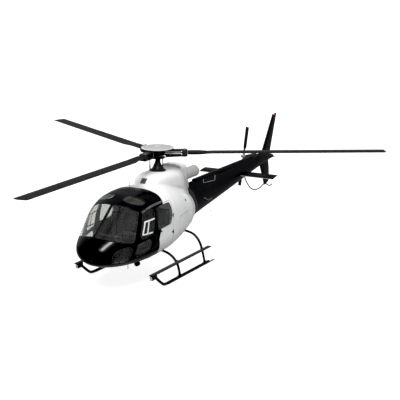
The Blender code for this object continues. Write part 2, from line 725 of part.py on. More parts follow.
def build_rear(parent_moving):
    hull_grown = cutter(shell("hull_grown", HULL, -SEAT_GAP))
    core = cutter(shell("door_core", HULL, SHELL))

    rear = shell("rear_fuselage", HULL)
    combine(rear, cutter(box("rear_region", (-1.5, BULKHEAD_Y, 0.0), (1.5, BOOM_JOINT_Y, 3.0))),
            'INTERSECT')
    for side, word in ((1.0, "left"), (-1.0, "right")):
        combine(rear, cutter(prism("hold_" + word, rounded(BAGGAGE_OPENING, 0.04), 'X', side,
                                   0.0, 0.12, 1.3)), 'DIFFERENCE')
    combine(rear, cutter(tube("rear_tunnel", cross_points("rear"), CROSS_TUBE + SEAT_GAP)),
            'DIFFERENCE')
    paint(rear, WHITE, 0.25)

    for side, word in ((1.0, "left"), (-1.0, "right")):
        door = shell("baggage_door_" + word, HULL)
        combine(door, cutter(prism("baggage_edge_" + word, rounded(BAGGAGE_OPENING, 0.04), 'X',
                                   side, -DOOR_GAP, 0.12, 1.3)), 'INTERSECT')
        combine(door, core, 'DIFFERENCE')
        for number, y in enumerate((-0.27, 0.20)):
            tag = "baggage_hinge_%s_%d" % (word, number)
            at = (0.850 - 0.179 * (y + 0.020), y, 1.572)
            line = Vector((-0.179, 1.0, 0.0)).normalized()
            ends = [Vector(at) + line * k for k in (-0.05, 0.05)]
            combine(door, cutter(tube(tag + "_barrel", ends, HINGE_R, 12, side)), 'UNION')
            combine(door, cutter(bar_prism(
                tag + "_arm", ((-0.010, 0.0), (0.008, 0.0), (0.006, -0.050), (-0.012, -0.085),
                               (-0.048, -0.085), (-0.048, -0.030), (-0.012, -0.024)),
                at, (line.y, -line.x, 0), (0, 0, 1), -0.02, 0.02, side)), 'UNION')
            for low in (-0.05, 0.026):
                combine(rear, cutter(bar_prism(
                    tag + "_lug_%d" % (low > 0),
                    ((-0.050, HINGE_R + SEAT_GAP), (0.006, HINGE_R + SEAT_GAP), (0.006, 0.022),
                     (-0.050, 0.040)), at, (line.y, -line.x, 0), (0, 0, 1), low, low + 0.024,
                    side)), 'UNION')
        paint(door, WHITE, 0.25)
        parent_moving("baggage_door_" + word, door)

    cowl = shell("engine_cowling", COWL, 0.0, True, 22)
    combine(cowl, cutter(shell("cowl_core", COWL, 0.022, True, 22)), 'DIFFERENCE')
    combine(cowl, hull_grown, 'DIFFERENCE')
    combine(cowl, cutter(on_grille("intake_hole", 0.0674, -SEAT_GAP, 1 + SEAT_GAP, -0.05, 0.06)),
            'DIFFERENCE')
    combine(cowl, cutter(disc("mast_hole", 0.046, 2.5, 2.8, (0, 0, 0), 'Z', 24)), 'DIFFERENCE')
    combine(cowl, cutter(disc("exhaust_hole", 0.1555, 1.20, 2.4, (0, 0, 2.27), 'Y', 28)),
            'DIFFERENCE')
    paint(cowl, WHITE, 0.25)

    engine = bevel(box("engine_block", (-0.27, -0.35, 2.1), (0.27, 0.35, 2.56)), 0.03)
    combine(engine, cutter(disc("engine_barrel", 0.19, 0.2, 1.10, (0, 0, 2.36), 'Y', 20)),
            'UNION')
    combine(engine, hull_grown, 'DIFFERENCE')
    paint(engine, STEEL, 0.5, 0.8)

    pipe = lathe("exhaust_pipe", ((0.0, 1.13), (0.13, 1.13), (0.155, 1.35), (0.143, 2.08),
                                  (0.135, 2.08), (0.143, 1.45), (0.0, 1.45)), (0, 0, 2.27), 'Y',
                 28)
    combine(pipe, hull_grown, 'DIFFERENCE')
    paint(pipe, STEEL, 0.35, 0.6)

    grille = on_grille("intake_grille", 0.067, 0.0, 1.0, -0.022, 0.004)
    for k in range(5):
        start = 0.06 + k * 0.18
        combine(grille, cutter(on_grille("grille_slot_%d" % k, 0.057, start, start + 0.12,
                                         -0.06, 0.06)), 'DIFFERENCE')
    paint(grille, DARK, 0.5)

    cowl_grown = cutter(shell("cowl_grown", COWL, -SEAT_GAP, True, 22))
    bell = lathe("mast_fairing", ((0.045, 2.55), (0.213, 2.55), (0.213, 2.690), (0.165, 2.722),
                                  (0.122, 2.790), (0.088, 2.865), (0.064, 2.930),
                                  (0.055, 2.975), (0.045, 2.975)), (0, 0, 0), 'Z', 24)
    for number, (x, y) in enumerate(SERVOS):
        combine(bell, cutter(disc("servo_%d" % number, 0.015, 2.64, 2.985, (x, y, 0), 'Z', 8)),
                'UNION')
    combine(bell, cowl_grown, 'DIFFERENCE')
    paint(bell, DARK, 0.35)


def build_tail():
    boom_grown = cutter(shell("boom_grown", BOOM, -SEAT_GAP, False, 22))
    boom = shell("tail_boom", BOOM, 0.0, True, 22)
    bore = [list(row) for row in BOOM[:7]]
    bore[0][0] = 1.50
    hollow = cutter(shell("boom_bore", [tuple(r) for r in bore], 0.020, False, 22))
    combine(boom, hollow, 'DIFFERENCE')
    stab_cut = cutter(stabiliser("stab_slot", SEAT_GAP))
    combine(boom, stab_cut, 'DIFFERENCE')
    paint(boom, BLACK, 0.3)
    paint(stabiliser("stabiliser", 0.0), BLACK, 0.35)

    cover = bevel(box("tail_shaft_cover", (-0.075, 2.05, 1.80), (0.075, 5.829, 2.03)), 0.03)
    combine(cover, boom_grown, 'DIFFERENCE')
    paint(cover, BLACK, 0.35)

    gear = bevel(box("tail_gearbox", (-0.20, 5.83, 1.83), (0.06, 6.19, 2.06)), 0.04)
    combine(gear, cutter(disc("gear_neck", 0.075, -0.275, -0.1, (0, TAIL_HUB[1], TAIL_HUB[2]),
                              'X', 20)), 'UNION')
    combine(gear, boom_grown, 'DIFFERENCE')
    paint(gear, BLACK, 0.35)

    up, across = (0, 1, 0), (1, 0, 0)
    fin = foil_loft("upper_fin", (
        ((0, 6.40, 1.80), up, across, 0.73, 0.085),
        ((0, 6.62, 2.09), up, across, 0.61, 0.075),
        ((0, 7.335, 3.10), up, across, 0.325, 0.040),
        ((0, 7.385, 3.14), up, across, 0.275, 0.030)))
    combine(fin, boom_grown, 'DIFFERENCE')
    combine(fin, cutter(bevel(box("gear_grown", (-0.2003, 5.8297, 1.8297),
                                  (0.0603, 6.1903, 2.0603)), 0.04)), 'DIFFERENCE')
    paint(fin, BLACK, 0.3)
    keel = foil_loft("ventral_fin", (
        ((0, 6.37, 1.75), up, across, 0.68, 0.060),
        ((0, 6.645, 1.10), up, across, 0.52, 0.045),
        ((0, 6.78, 0.93), up, across, 0.37, 0.030)))
    combine(keel, boom_grown, 'DIFFERENCE')
    paint(keel, BLACK, 0.3)

    guard = tube("tail_guard", ((0, 5.36, 1.52), (0, 5.40, 1.36), (0, 5.50, 1.16),
                                (0, 5.66, 1.00), (0, 5.88, 0.905), (0, 6.12, 0.88),
                                (0, 6.40, 0.895), (0, 6.84, 0.93)), 0.012, 10)
    combine(guard, boom_grown, 'DIFFERENCE')
    keel_grown = cutter(foil_loft("keel_grown", (
        ((0, 6.3697, 1.75), up, across, 0.6806, 0.061),
        ((0, 6.6447, 1.10), up, across, 0.5206, 0.046),
        ((0, 6.7797, 0.9297), up, across, 0.3706, 0.031))))
    combine(guard, keel_grown, 'DIFFERENCE')
    paint(guard, STEEL, 0.4, 0.7)


def stabiliser(name, grow):
    span = STAB_HALF_SPAN + (0.01 if grow else 0.0)
    lead = (STAB_LE_Y, STAB_Z)
    sections = [((x, lead[0], lead[1]), (0, 1, 0), (0, 0, 1), STAB_CHORD, 0.048)
                for x in (-span, 0.0, span)]
    return foil_loft(name, sections, 1.0, grow)


def build_skids():
    for which in ("front", "rear"):
        bar = tube("cross_tube_" + which, cross_points(which), CROSS_TUBE)
        for side, word in ((1.0, "left"), (-1.0, "right")):
            combine(bar, cutter(tube("skid_grown_%s_%s" % (which, word), skid_points(),
                                     SKID_TUBE + SEAT_GAP, 12, side, 0.5)), 'DIFFERENCE')
        paint(bar, BLACK, 0.3)
    for side, word in ((1.0, "left"), (-1.0, "right")):
        skid = tube("skid_" + word, skid_points(), SKID_TUBE, 12, side, 0.5)
        combine(skid, cutter(box("skid_spring_" + word, (SKID_X - 0.028, 0.60, 0.006),
                                 (SKID_X + 0.028, 1.14, 0.018), side)), 'UNION')
        paint(skid, BLACK, 0.3)
        step = box("step_" + word, (1.090, -2.39, 0.452), (1.205, 0.85, 0.482), side)
        for name, lo, hi in (
                ("front", (1.00, -0.835, 0.440), (1.12, -0.765, 0.470)),
                ("rear", (1.00, 0.565, 0.440), (1.12, 0.635, 0.470)),
                ("toe", (SKID_X - 0.028, -2.30, 0.335), (SKID_X + 0.028, -2.13, 0.460))):
            combine(step, cutter(box("step_%s_%s" % (name, word), lo, hi, side)), 'UNION')
        for which in ("front", "rear"):
            combine(step, cutter(tube("cross_grown_%s_%s" % (which, word), cross_points(which),
                                      CROSS_TUBE + SEAT_GAP)), 'DIFFERENCE')
        combine(step, cutter(tube("toe_grown_" + word, skid_points(0.0004), SKID_TUBE + SEAT_GAP, 12,
                                  side, 0.5)), 'DIFFERENCE')
        paint(step, BLACK, 0.4)


def skid_points(past=0.0):
    """Centre line of a skid tube, nose first; past lengthens the nose end a little."""
    base = SKID_TUBE * math.cos(math.pi / 12)
    return ((SKID_X, -2.215 - past, 0.405 + past), (SKID_X, -2.10, 0.300), (SKID_X, -1.92, 0.140),
            (SKID_X, -1.76, 0.060), (SKID_X, -1.60, base), (SKID_X, 0.80, base))


def build_rotor(parent_moving):
    pieces = []
    mast = disc("rotor_mast", 0.038, 2.56 + SEAT_GAP, 3.085, (0, 0, 0), 'Z', 24)
    paint(mast, STEEL, 0.35, 0.8)
    pieces.append(mast)
    plate = lathe("swashplate", ((0.0385, 3.000), (0.13, 3.000), (0.205, 3.008), (0.215, 3.022),
                                 (0.205, 3.036), (0.13, 3.044), (0.0385, 3.044)), (0, 0, 0), 'Z',
                  24)
    paint(plate, DARK, 0.35)
    pieces.append(plate)

    star = disc("rotor_star", 0.20, 3.0855, 3.235, (0, 0, 0), 'Z', 24)
    for k, azimuth in enumerate(BLADE_AZIMUTHS):
        arm = turned(box("star_arm_%d" % k, (0.10, -0.06, PLATE_LOW + SEAT_GAP),
                         (0.62, 0.06, PLATE_HIGH - SEAT_GAP)), (0, 0), azimuth)
        combine(star, cutter(arm), 'UNION')
    paint(star, (0.62, 0.63, 0.63), 0.45)
    pieces.append(star)

    cap = lathe("hub_cap", ((0.0, 3.2355), (0.19, 3.2355), (0.215, 3.268), (0.430, 3.268),
                            (0.441, 3.281), (0.425, 3.297), (0.12, 3.318), (0.10, 3.335),
                            (0.0, 3.340)), (0, 0, 0), 'Z', 32)
    paint(cap, (0.60, 0.61, 0.62), 0.3, 0.5)
    pieces.append(cap)

    for k, azimuth in enumerate(BLADE_AZIMUTHS):
        number = k + 1
        sleeve = turned(box("sleeve_%d" % number, (0.66, -0.105, 3.065), (0.82, 0.105, 3.235)),
                        (0, 0), azimuth)
        for word, low, high in (("top", PLATE_HIGH, 3.240), ("low", 3.055, PLATE_LOW)):
            bar = turned(box("sleeve_%s_%d" % (word, number), (0.225, -0.095, low),
                             (0.70, 0.095, high)), (0, 0), azimuth)
            combine(sleeve, cutter(bar), 'UNION')
        for y in (-0.06, 0.06):
            bolt = turned(disc("pin_%d_%d" % (number, int(y * 100)), 0.028, 3.040, 3.258,
                               (0.74, y, 0), 'Z', 8), (0, 0), azimuth)
            combine(sleeve, cutter(bolt), 'UNION')
        paint(sleeve, DARK, 0.4)
        pieces.append(sleeve)
        blade = main_blade("blade_%d" % number)
        turned(blade, (0, 0), azimuth)
        paint(blade, (0.03, 0.03, 0.033), 0.4)
        pieces.append(blade)
    parent_moving("main_rotor", *pieces)

    hub_x, hub_y, hub_z = TAIL_HUB
    way = Vector((0, math.cos(math.radians(TAIL_ANGLE)), math.sin(math.radians(TAIL_ANGLE))))
    chordwise = Vector((0, way.z, -way.y))
    hub = disc("tail_rotor_hub", 0.045, hub_x - 0.085, -0.275 - SEAT_GAP, (0, hub_y, hub_z), 'X', 20)
    yoke = primitive("tail_yoke", bmesh.ops.create_cube,
                     basis((1, 0, 0), chordwise, way, TAIL_HUB)
                     @ Matrix.Diagonal((0.036, 0.08, 0.34, 1.0)), size=1.0)
    combine(hub, cutter(yoke), 'UNION')
    paint(hub, STEEL, 0.35, 0.8)
    blades = []
    for k, sign in enumerate((1.0, -1.0)):
        base = Vector((hub_x, hub_y, hub_z))
        sections = []
        for radius, chord, thick in ((0.1703, 0.07, 0.030), (0.24, 0.12, 0.030),
                                     (0.31, TAIL_CHORD, 0.020), (TAIL_RADIUS, TAIL_CHORD,
                                                                 0.016)):
            lead = base + way * sign * radius - chordwise * sign * chord * 0.4
            sections.append((lead, chordwise * sign, Vector((1, 0, 0)), chord, thick))
        blade = foil_loft("tail_blade_%d" % (k + 1), sections)
        paint(blade, BLACK, 0.4)
        blades.append(blade)
    parent_moving("tail_rotor", hub, *blades)


def main_blade(name):
    """One blade lying along +X, leading edge toward -Y as the rotor turns clockwise."""
    sections = []
    for radius, chord, thick in ((BLADE_ROOT_R + SEAT_GAP, 0.13, 0.085), (0.98, 0.15, 0.085),
                                 (1.20, 0.24, 0.060), (CUFF_END_R, BLADE_CHORD, 0.040),
                                 (3.80, BLADE_CHORD, 0.038), (ROTOR_RADIUS, BLADE_CHORD,
                                                              0.036)):
        sections.append(((radius, -chord * 0.42, ROTOR_Z), (0, 1, 0), (0, 0, 1), chord, thick))
    return foil_loft(name, sections)


# Turning pieces: name, pivot. The origin of each empty lies on its joint's axis.
PIVOTS = {
    "main_rotor": (0.0, 0.0, ROTOR_Z),
    "tail_rotor": TAIL_HUB,
    "door_front_left": (0.770, -2.602, 1.150),
    "door_front_right": (-0.770, -2.602, 1.150),
    "door_rear_left": (0.938, -0.785, 1.400),
    "door_rear_right": (-0.938, -0.785, 1.400),
    "baggage_door_left": (0.850, -0.020, 1.572),
    "baggage_door_right": (-0.850, -0.020, 1.572),
}


def main():
    for obj in list(bpy.data.objects):
        bpy.data.objects.remove(obj)
    HIDDEN.clear()

    empties = {}
    for name, pivot in PIVOTS.items():
        empty = bpy.data.objects.new("axis_" + name, None)
        empty.location = pivot
        parts_home().objects.link(empty)
        empties[name] = empty

    def parent_moving(name, *pieces):
        pivot = Vector(PIVOTS[name])
        for piece in pieces:
            for v in piece.data.vertices:
                v.co -= pivot
            piece.location = pivot
            MOVED.append((piece, empties[name], pivot))

    MOVED.clear()
    build_cabin(parent_moving)
    build_interior()
    build_rear(parent_moving)
    build_tail()
    build_skids()
    paint(landing_light(), (0.5, 0.5, 0.5), 0.3)
    build_rotor(parent_moving)

    base = bpy.data.objects.new("airframe", None)
    base.location = (0.0, AIRFRAME_SHIFT, 0.0)
    parts_home().objects.link(base)
    for piece, empty, pivot in MOVED:
        piece.location = (0, 0, 0)
        piece.parent = empty
    for obj in list(bpy.data.objects):
        if obj is not base and obj.parent is None:
            obj.parent = base


MOVED = []


def landing_light():
    lamp = disc("belly_light", 0.06, 0.515, 0.66, (0.36, -1.70, 0), 'Z', 20)
    combine(lamp, cutter(shell("belly_grown", HULL, -SEAT_GAP)), 'DIFFERENCE')
    return lamp


if __name__ == "__main__":
    main()
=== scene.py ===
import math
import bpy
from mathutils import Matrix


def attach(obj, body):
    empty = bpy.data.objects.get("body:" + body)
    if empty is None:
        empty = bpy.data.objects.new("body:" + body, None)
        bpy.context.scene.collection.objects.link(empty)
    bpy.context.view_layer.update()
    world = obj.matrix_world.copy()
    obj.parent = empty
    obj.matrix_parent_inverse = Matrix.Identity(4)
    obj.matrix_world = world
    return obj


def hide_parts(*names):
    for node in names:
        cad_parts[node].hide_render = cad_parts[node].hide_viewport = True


bl_info = {
    "name": "Light utility helicopter",
    "version": (1, 0, 0),
    "blender": (4, 5, 0),
    "location": "View3D > Sidebar > Helicopter",
    "description": "Dresses a light skid helicopter: skins, glazing, cabin, rotors, tail and gear",
    "category": "Object",
}

import bmesh
import bpy
import numpy as np
from mathutils import Matrix, Vector
from mathutils.bvhtree import BVHTree

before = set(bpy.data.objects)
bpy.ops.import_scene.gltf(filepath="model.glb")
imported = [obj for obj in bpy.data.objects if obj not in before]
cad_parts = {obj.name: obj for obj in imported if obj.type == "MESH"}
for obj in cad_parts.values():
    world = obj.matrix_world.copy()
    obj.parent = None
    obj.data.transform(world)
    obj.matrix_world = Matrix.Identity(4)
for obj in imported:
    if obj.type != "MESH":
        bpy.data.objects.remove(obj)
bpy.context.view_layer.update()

# The tables below have the rotor mast at Y = 0; at the end each piece is moved by this much in Y.
MAST_SHIFT = -0.73
SKIN = 0.035
RING = 96
SIDES = ((1.0, "left"), (-1.0, "right"))
# Where the hollow cabin ends, how deep panes lie in the skin and how much smaller they are.
CABIN_REAR = 1.2
PANE_DEPTHS = (0.006, 0.011)
PANE_FIT = -0.0005
PANE_CORNER, SCREEN_CORNER = 0.045, 0.03

# Fuselage stations: y, half width, low z, middle z, high z, upper and lower roundness.
HULL = ((-3.4, 0.006, 1.124, 1.13, 1.136, 2.0, 2.0), (-3.396, 0.07, 1.07, 1.13, 1.19, 2.0, 2.0),
    (-3.385, 0.14, 1.02, 1.13, 1.25, 2.0, 2.0), (-3.345, 0.31, 0.91, 1.14, 1.37, 2.0, 2.0),
    (-3.25, 0.475, 0.82, 1.15, 1.49, 2.1, 2.1), (-3.09, 0.6, 0.75, 1.17, 1.61, 2.1, 2.2),
    (-2.88, 0.7, 0.69, 1.19, 1.765, 2.2, 2.3), (-2.6, 0.782, 0.64, 1.2, 1.985, 2.5, 2.4),
    (-2.29, 0.845, 0.605, 1.22, 2.215, 2.8, 2.5), (-2.0, 0.89, 0.585, 1.25, 2.33, 3.0, 2.6),
    (-1.6, 0.92, 0.575, 1.28, 2.385, 3.2, 2.7), (-1.15, 0.93, 0.585, 1.3, 2.395, 3.4, 2.7),
    (-0.6, 0.915, 0.61, 1.3, 2.365, 3.3, 2.6), (-0.1, 0.855, 0.685, 1.31, 2.25, 3.0, 2.5),
    (0.4, 0.75, 0.785, 1.32, 2.12, 2.6, 2.5), (0.85, 0.63, 0.87, 1.34, 2.02, 2.3, 2.5),
    (1.25, 0.478, 0.94, 1.34, 1.855, 2.05, 2.3), (1.6, 0.37, 1.01, 1.39, 1.99, 1.4, 2.0))
BOOM = ((1.3, 0.395, 1.0, 1.37, 1.96, 1.5, 2.0), (1.6, 0.368, 1.005, 1.38, 1.99, 1.4, 2.0),
    (2.6, 0.285, 1.11, 1.43, 1.96, 1.7, 2.0), (3.8, 0.23, 1.262, 1.53, 1.945, 1.7, 2.0),
    (5.0, 0.18, 1.425, 1.64, 1.95, 1.8, 2.0), (5.9, 0.15, 1.55, 1.74, 1.965, 1.9, 2.0),
    (6.3, 0.135, 1.6, 1.78, 2.01, 1.9, 2.0), (6.8, 0.105, 1.655, 1.79, 1.96, 1.9, 2.0),
    (7.2, 0.07, 1.7, 1.77, 1.87, 1.9, 2.0), (7.44, 0.032, 1.712, 1.74, 1.775, 2.0, 2.0),
    (7.455, 0.004, 1.737, 1.74, 1.744, 2.0, 2.0))
COLLAR = ((1.262, 0.44, 1.04, 1.355, 1.86, 1.85, 2.0), (1.264, 0.464, 1.018, 1.355, 1.9, 1.8, 2.0),
    (1.3, 0.468, 1.014, 1.355, 1.92, 1.78, 2.0), (1.44, 0.459, 1.012, 1.35, 1.955, 1.7, 2.0),
    (1.462, 0.448, 1.022, 1.35, 1.95, 1.7, 2.0), (1.466, 0.38, 1.08, 1.35, 1.9, 1.7, 2.0))
COWL = ((-0.872, 0.006, 2.27, 2.276, 2.282, 2.2, 2.0), (-0.87, 0.12, 2.05, 2.28, 2.34, 2.2, 2.0),
    (-0.82, 0.21, 2.05, 2.33, 2.438, 3.0, 2.0), (-0.76, 0.275, 2.05, 2.36, 2.51, 3.2, 2.0),
    (-0.66, 0.342, 2.05, 2.38, 2.595, 3.5, 2.0), (-0.42, 0.408, 2.0, 2.34, 2.655, 3.7, 2.0),
    (0.0, 0.448, 1.9, 2.3, 2.668, 3.4, 2.0), (0.35, 0.45, 1.86, 2.28, 2.664, 3.4, 2.0),
    (0.62, 0.44, 1.8, 2.26, 2.655, 3.4, 2.0), (0.72, 0.424, 1.77, 2.24, 2.635, 3.2, 2.1),
    (0.82, 0.392, 1.72, 2.22, 2.57, 2.8, 2.2), (0.95, 0.35, 1.66, 2.15, 2.5, 2.3, 2.3),
    (1.1, 0.285, 1.6, 2.06, 2.42, 2.1, 2.4), (1.25, 0.225, 1.57, 2.02, 2.36, 2.0, 2.4),
    (1.4, 0.165, 1.54, 2.0, 2.3, 2.0, 2.4), (1.51, 0.12, 1.5, 1.99, 2.24, 2.2, 2.2),
    (1.515, 0.006, 1.9, 1.95, 2.0, 2.2, 2.2))
# Raised rear deck of the cowling, with the intake in its sloped front.
REAR_DECK = ((0.585, 0.006, 2.44, 2.45, 2.46, 2.2, 2.0), (0.587, 0.25, 2.3, 2.45, 2.632, 4.0, 2.0),
    (0.62, 0.29, 2.25, 2.45, 2.646, 4.2, 2.0), (0.7, 0.322, 2.18, 2.45, 2.686, 4.5, 2.0),
    (0.76, 0.334, 2.15, 2.44, 2.706, 4.8, 2.0), (0.95, 0.334, 2.1, 2.42, 2.708, 4.8, 2.2),
    (1.06, 0.318, 2.08, 2.4, 2.698, 4.4, 2.2), (1.13, 0.288, 2.07, 2.36, 2.668, 3.8, 2.2),
    (1.18, 0.245, 2.08, 2.33, 2.6, 3.0, 2.2), (1.205, 0.2, 2.09, 2.3, 2.52, 2.6, 2.2),
    (1.21, 0.006, 2.25, 2.28, 2.31, 2.0, 2.0))

# Outlines seen from the side: y, z.
NOSE_EDGE = ((-3.7, 1.642), (-2.4, 1.257), (-2.4, 0.3), (-3.7, 0.3))
CANOPY_EDGE = ((-3.7, 1.6424), (-2.3997, 1.2573), (-2.3997, 0.7703), (-0.6003, 0.7703),
    (-0.6003, 2.7), (-3.7, 2.7))
FRONT_DOOR = ((-1.645, 0.79), (-1.645, 1.45), (-1.52, 2.1), (-2.03, 2.095), (-2.1, 2.03),
    (-2.25, 1.74), (-2.37, 1.4), (-2.513, 1.18), (-2.59, 1.04), (-2.6, 0.93), (-2.52, 0.83),
    (-2.35, 0.79))
REAR_DOOR = ((-0.78, 0.79), (-0.78, 2.1), (-1.46, 2.1), (-1.585, 1.45), (-1.585, 0.79))
FRONT_WINDOW = ((-2.125, 1.91), (-2.0, 2.04), (-1.76, 2.055), (-1.64, 2.03), (-1.65, 1.9),
    (-1.715, 1.7), (-1.79, 1.42), (-2.063, 1.378), (-2.245, 1.368), (-2.31, 1.47))
LOW_WINDOW = ((-2.41, 1.275), (-2.18, 1.3), (-1.93, 1.318), (-1.85, 1.25), (-1.931, 1.044),
    (-2.129, 0.963), (-2.395, 0.936), (-2.5, 1.03))
REAR_WINDOW = ((-1.5, 2.03), (-1.3, 2.056), (-1.05, 2.062), (-0.862, 2.05), (-0.824, 1.93),
    (-0.818, 1.78), (-0.868, 1.56), (-0.94, 1.492), (-1.331, 1.476), (-1.55, 1.47), (-1.555, 1.7))
BAGGAGE_DOOR = ((-0.38, 1.02), (0.34, 1.02), (0.34, 1.56), (-0.38, 1.56))
STORM_WINDOW = ((-2.078, 1.791), (-1.69, 1.802), (-1.817, 1.467), (-2.218, 1.482))
# Doors that open: word, outline, panes.
DOORS = (("front", FRONT_DOOR, (("top", FRONT_WINDOW), ("low", LOW_WINDOW))),
    ("rear", REAR_DOOR, (("top", REAR_WINDOW),)))
# Outlines seen from the front, x and z, and from above, x and y.
WINDSCREEN = ((0.028, 1.545), (0.3, 1.52), (0.45, 1.49), (0.676, 1.405), (0.785, 1.345),
    (0.797, 1.42), (0.79, 1.56), (0.758, 1.82), (0.695, 2.05), (0.45, 2.165), (0.2, 2.2),
    (0.028, 2.2))
ROOF_WINDOW = ((0.155, -1.95), (0.171, -2.06), (0.285, -2.126), (0.449, -2.121), (0.594, -2.039),
    (0.662, -1.923), (0.665, -1.79), (0.6, -1.755), (0.373, -1.811), (0.207, -1.845))
# The chin window: the way that it faces, a middle point, and its outline.
CHIN_WAY = (0.76, -0.62, -0.2)
CHIN_MIDDLE = (0.62, -2.85, 1.05)
CHIN_WINDOW = ((0.484, -3.141, 1.077), (0.529, -3.099, 1.194), (0.617, -2.952, 1.266),
    (0.729, -2.7, 1.276), (0.772, -2.61, 1.18), (0.755, -2.62, 1.066), (0.688, -2.665, 0.925),
    (0.614, -2.72, 0.857), (0.506, -2.962, 0.87), (0.459, -3.084, 0.925))
# The cowling's front intake, seen from the side, and half its width.
GRILLE_LINE = ((-0.851, 2.377), (-0.69, 2.575))
GRILLE_HALF = 0.086
# Border of the dark nose paint: height, then how far ahead of y = 0 it lies.
PAINT_LINE = ((0.6, -1.37), (0.8, -1.4), (1.2, -1.5), (1.47, -1.4), (2.04, -1.18), (2.115, -1.146),
    (2.174, -1.128), (2.28, -1.115), (2.355, -1.13), (2.388, -1.11), (2.397, -1.05), (2.5, -1.04))
# Exhaust's middle, line of the skid tubes, height of the blades, tail rotor's hub, and where the
# three blades point, in degrees.
EXHAUST = (0, 0, 2.268)
SKID_X, SKID_Z = 1.137, 0.0425
BLADE_Z = 3.16
TAIL_HUB = (-0.363, 6.007, 1.947)
BLADE_ANGLES = (-90.0, 30.0, 150.0)

surfaces = {}
finishes = {}


# Sizes and colours that a user would change.

class PaintScheme(bpy.types.PropertyGroup):
    dark: bpy.props.FloatVectorProperty(name="Dark paint",
        description="Gloss paint of the nose, the boom and the front doors",
        default=(0.0045, 0.0045, 0.005), size=3, min=0.0, max=1.0, subtype='COLOR')
    light: bpy.props.FloatVectorProperty(name="Light paint",
        description="Gloss paint of the middle of the body and the cowling",
        default=(0.83, 0.83, 0.82), size=3, min=0.0, max=1.0, subtype='COLOR')
    seats: bpy.props.FloatVectorProperty(name="Seat cloth",
        description="Woven covers of the seats and the bench", default=(0.03, 0.032, 0.035),
        size=3, min=0.0, max=1.0, subtype='COLOR')
    tint: bpy.props.FloatVectorProperty(name="Glass tint",
        description="Colour that the glazing lets through", default=(0.8, 0.81, 0.79), size=3,
        min=0.0, max=1.0, subtype='COLOR')


class Sizes(bpy.types.PropertyGroup):
    blade_chord: bpy.props.FloatProperty(name="Blade chord",
        description="Width of a main rotor blade", default=0.4, min=0.1, max=0.6, unit='LENGTH')
    blade_reach: bpy.props.FloatProperty(name="Rotor radius",
        description="From the mast to the tip of a blade", default=6.2, min=2.0, max=9.0,
        unit='LENGTH')
    seal: bpy.props.FloatProperty(name="Window rubber",
        description="Radius of the rubber bead round each window", default=0.0065, min=0.002,
        max=0.02, unit='LENGTH')


# Shapes.

def eased(table, parts=5):
    """Rows of a station table with smooth rows between them."""
    rows = np.array(table, float)
    gaps = np.linalg.norm(np.diff(rows[:, :5], axis=0), axis=1)[:, None]
    slopes = np.diff(rows, axis=0) / gaps
    ways = np.zeros_like(rows)
    ways[0], ways[-1] = slopes[0], slopes[-1]
    middle = (slopes[:-1] * gaps[1:] + slopes[1:] * gaps[:-1]) / (gaps[:-1] + gaps[1:])
    most = 3 * np.minimum(abs(slopes[:-1]), abs(slopes[1:]))
    ways[1:-1] = np.where(slopes[:-1] * slopes[1:] > 0,
        np.sign(middle) * np.minimum(abs(middle), most), 0.0)
    found = []
    for k, gap in enumerate(gaps):
        for f in np.arange(parts) / parts:
            a, b = 2 * f ** 3 - 3 * f ** 2 + 1, f ** 3 - 2 * f ** 2 + f
            c, d = -2 * f ** 3 + 3 * f ** 2, f ** 3 - f ** 2
            found.append(a * rows[k] + b * gap * ways[k] + c * rows[k + 1] + d * gap * ways[k + 1])
    return [tuple(row) for row in found + [rows[-1]]]


def rib(row):
    """Cross-section of one station."""
    y, half, low, mid, high, n_up, n_low = row
    points = []
    for k in range(RING):
        c, s = math.cos(2 * math.pi * k / RING), math.sin(2 * math.pi * k / RING)
        n = n_up if s >= 0 else n_low
        rise = high - mid if s >= 0 else mid - low
        points.append(Vector((half * math.copysign(abs(c) ** (2 / n), c), y,
            mid + rise * math.copysign(abs(s) ** (2 / n), s))))
    return points


def hoops(table, depth):
    """Cross-sections of a table, moved inward by a depth."""
    ribs = [rib(row) for row in table]
    moved = []
    for r, points in enumerate(ribs):
        before, after = ribs[max(r - 1, 0)], ribs[min(r + 1, len(ribs) - 1)]
        heart = sum(points, Vector()) / RING
        line = []
        for k, p in enumerate(points):
            out = (points[(k + 1) % RING] - points[k - 1]).cross(after[k] - before[k])
            out = out.normalized() if out.length > 1e-12 else Vector()
            if out.dot(p - heart) < 0:
                out = -out
            line.append(p - out * depth)
        moved.append(line)
    return moved


def tube_faces(rings, count, ring=False):
    """Faces over equal rows of points: a closed ring, or a tube with both ends shut."""
    faces = []
    for r in range(rings if ring else rings - 1):
        below, above = r * count, (r + 1) % rings * count
        for k in range(count):
            j = (k + 1) % count
            faces.append((below + k, below + j, above + j, above + k))
    if not ring:
        last = (rings - 1) * count
        faces += [tuple(range(count - 1, -1, -1)), tuple(range(last, last + count))]
    return faces


def loft_parts(table, depth=0.0, flip=False, first=0):
    """Points and faces of a closed skin over a table."""
    lines = hoops(table, depth)
    faces = tube_faces(len(lines), RING)
    faces = [tuple(i + first for i in (face[::-1] if flip else face)) for face in faces]
    return [p for line in lines for p in line], faces


def linked(name, data):
    """New object of some data, put in the scene."""
    piece = bpy.data.objects.new(name, data)
    bpy.context.scene.collection.objects.link(piece)
    return piece


def from_bmesh(name, bm):
    mesh = bpy.data.meshes.new(name)
    bm.to_mesh(mesh)
    bm.free()
    return linked(name, mesh)


def new_piece(name, verts, faces):
    mesh = bpy.data.meshes.new(name)
    mesh.from_pydata([tuple(v) for v in verts], [], faces)
    mesh.update()
    return linked(name, mesh)


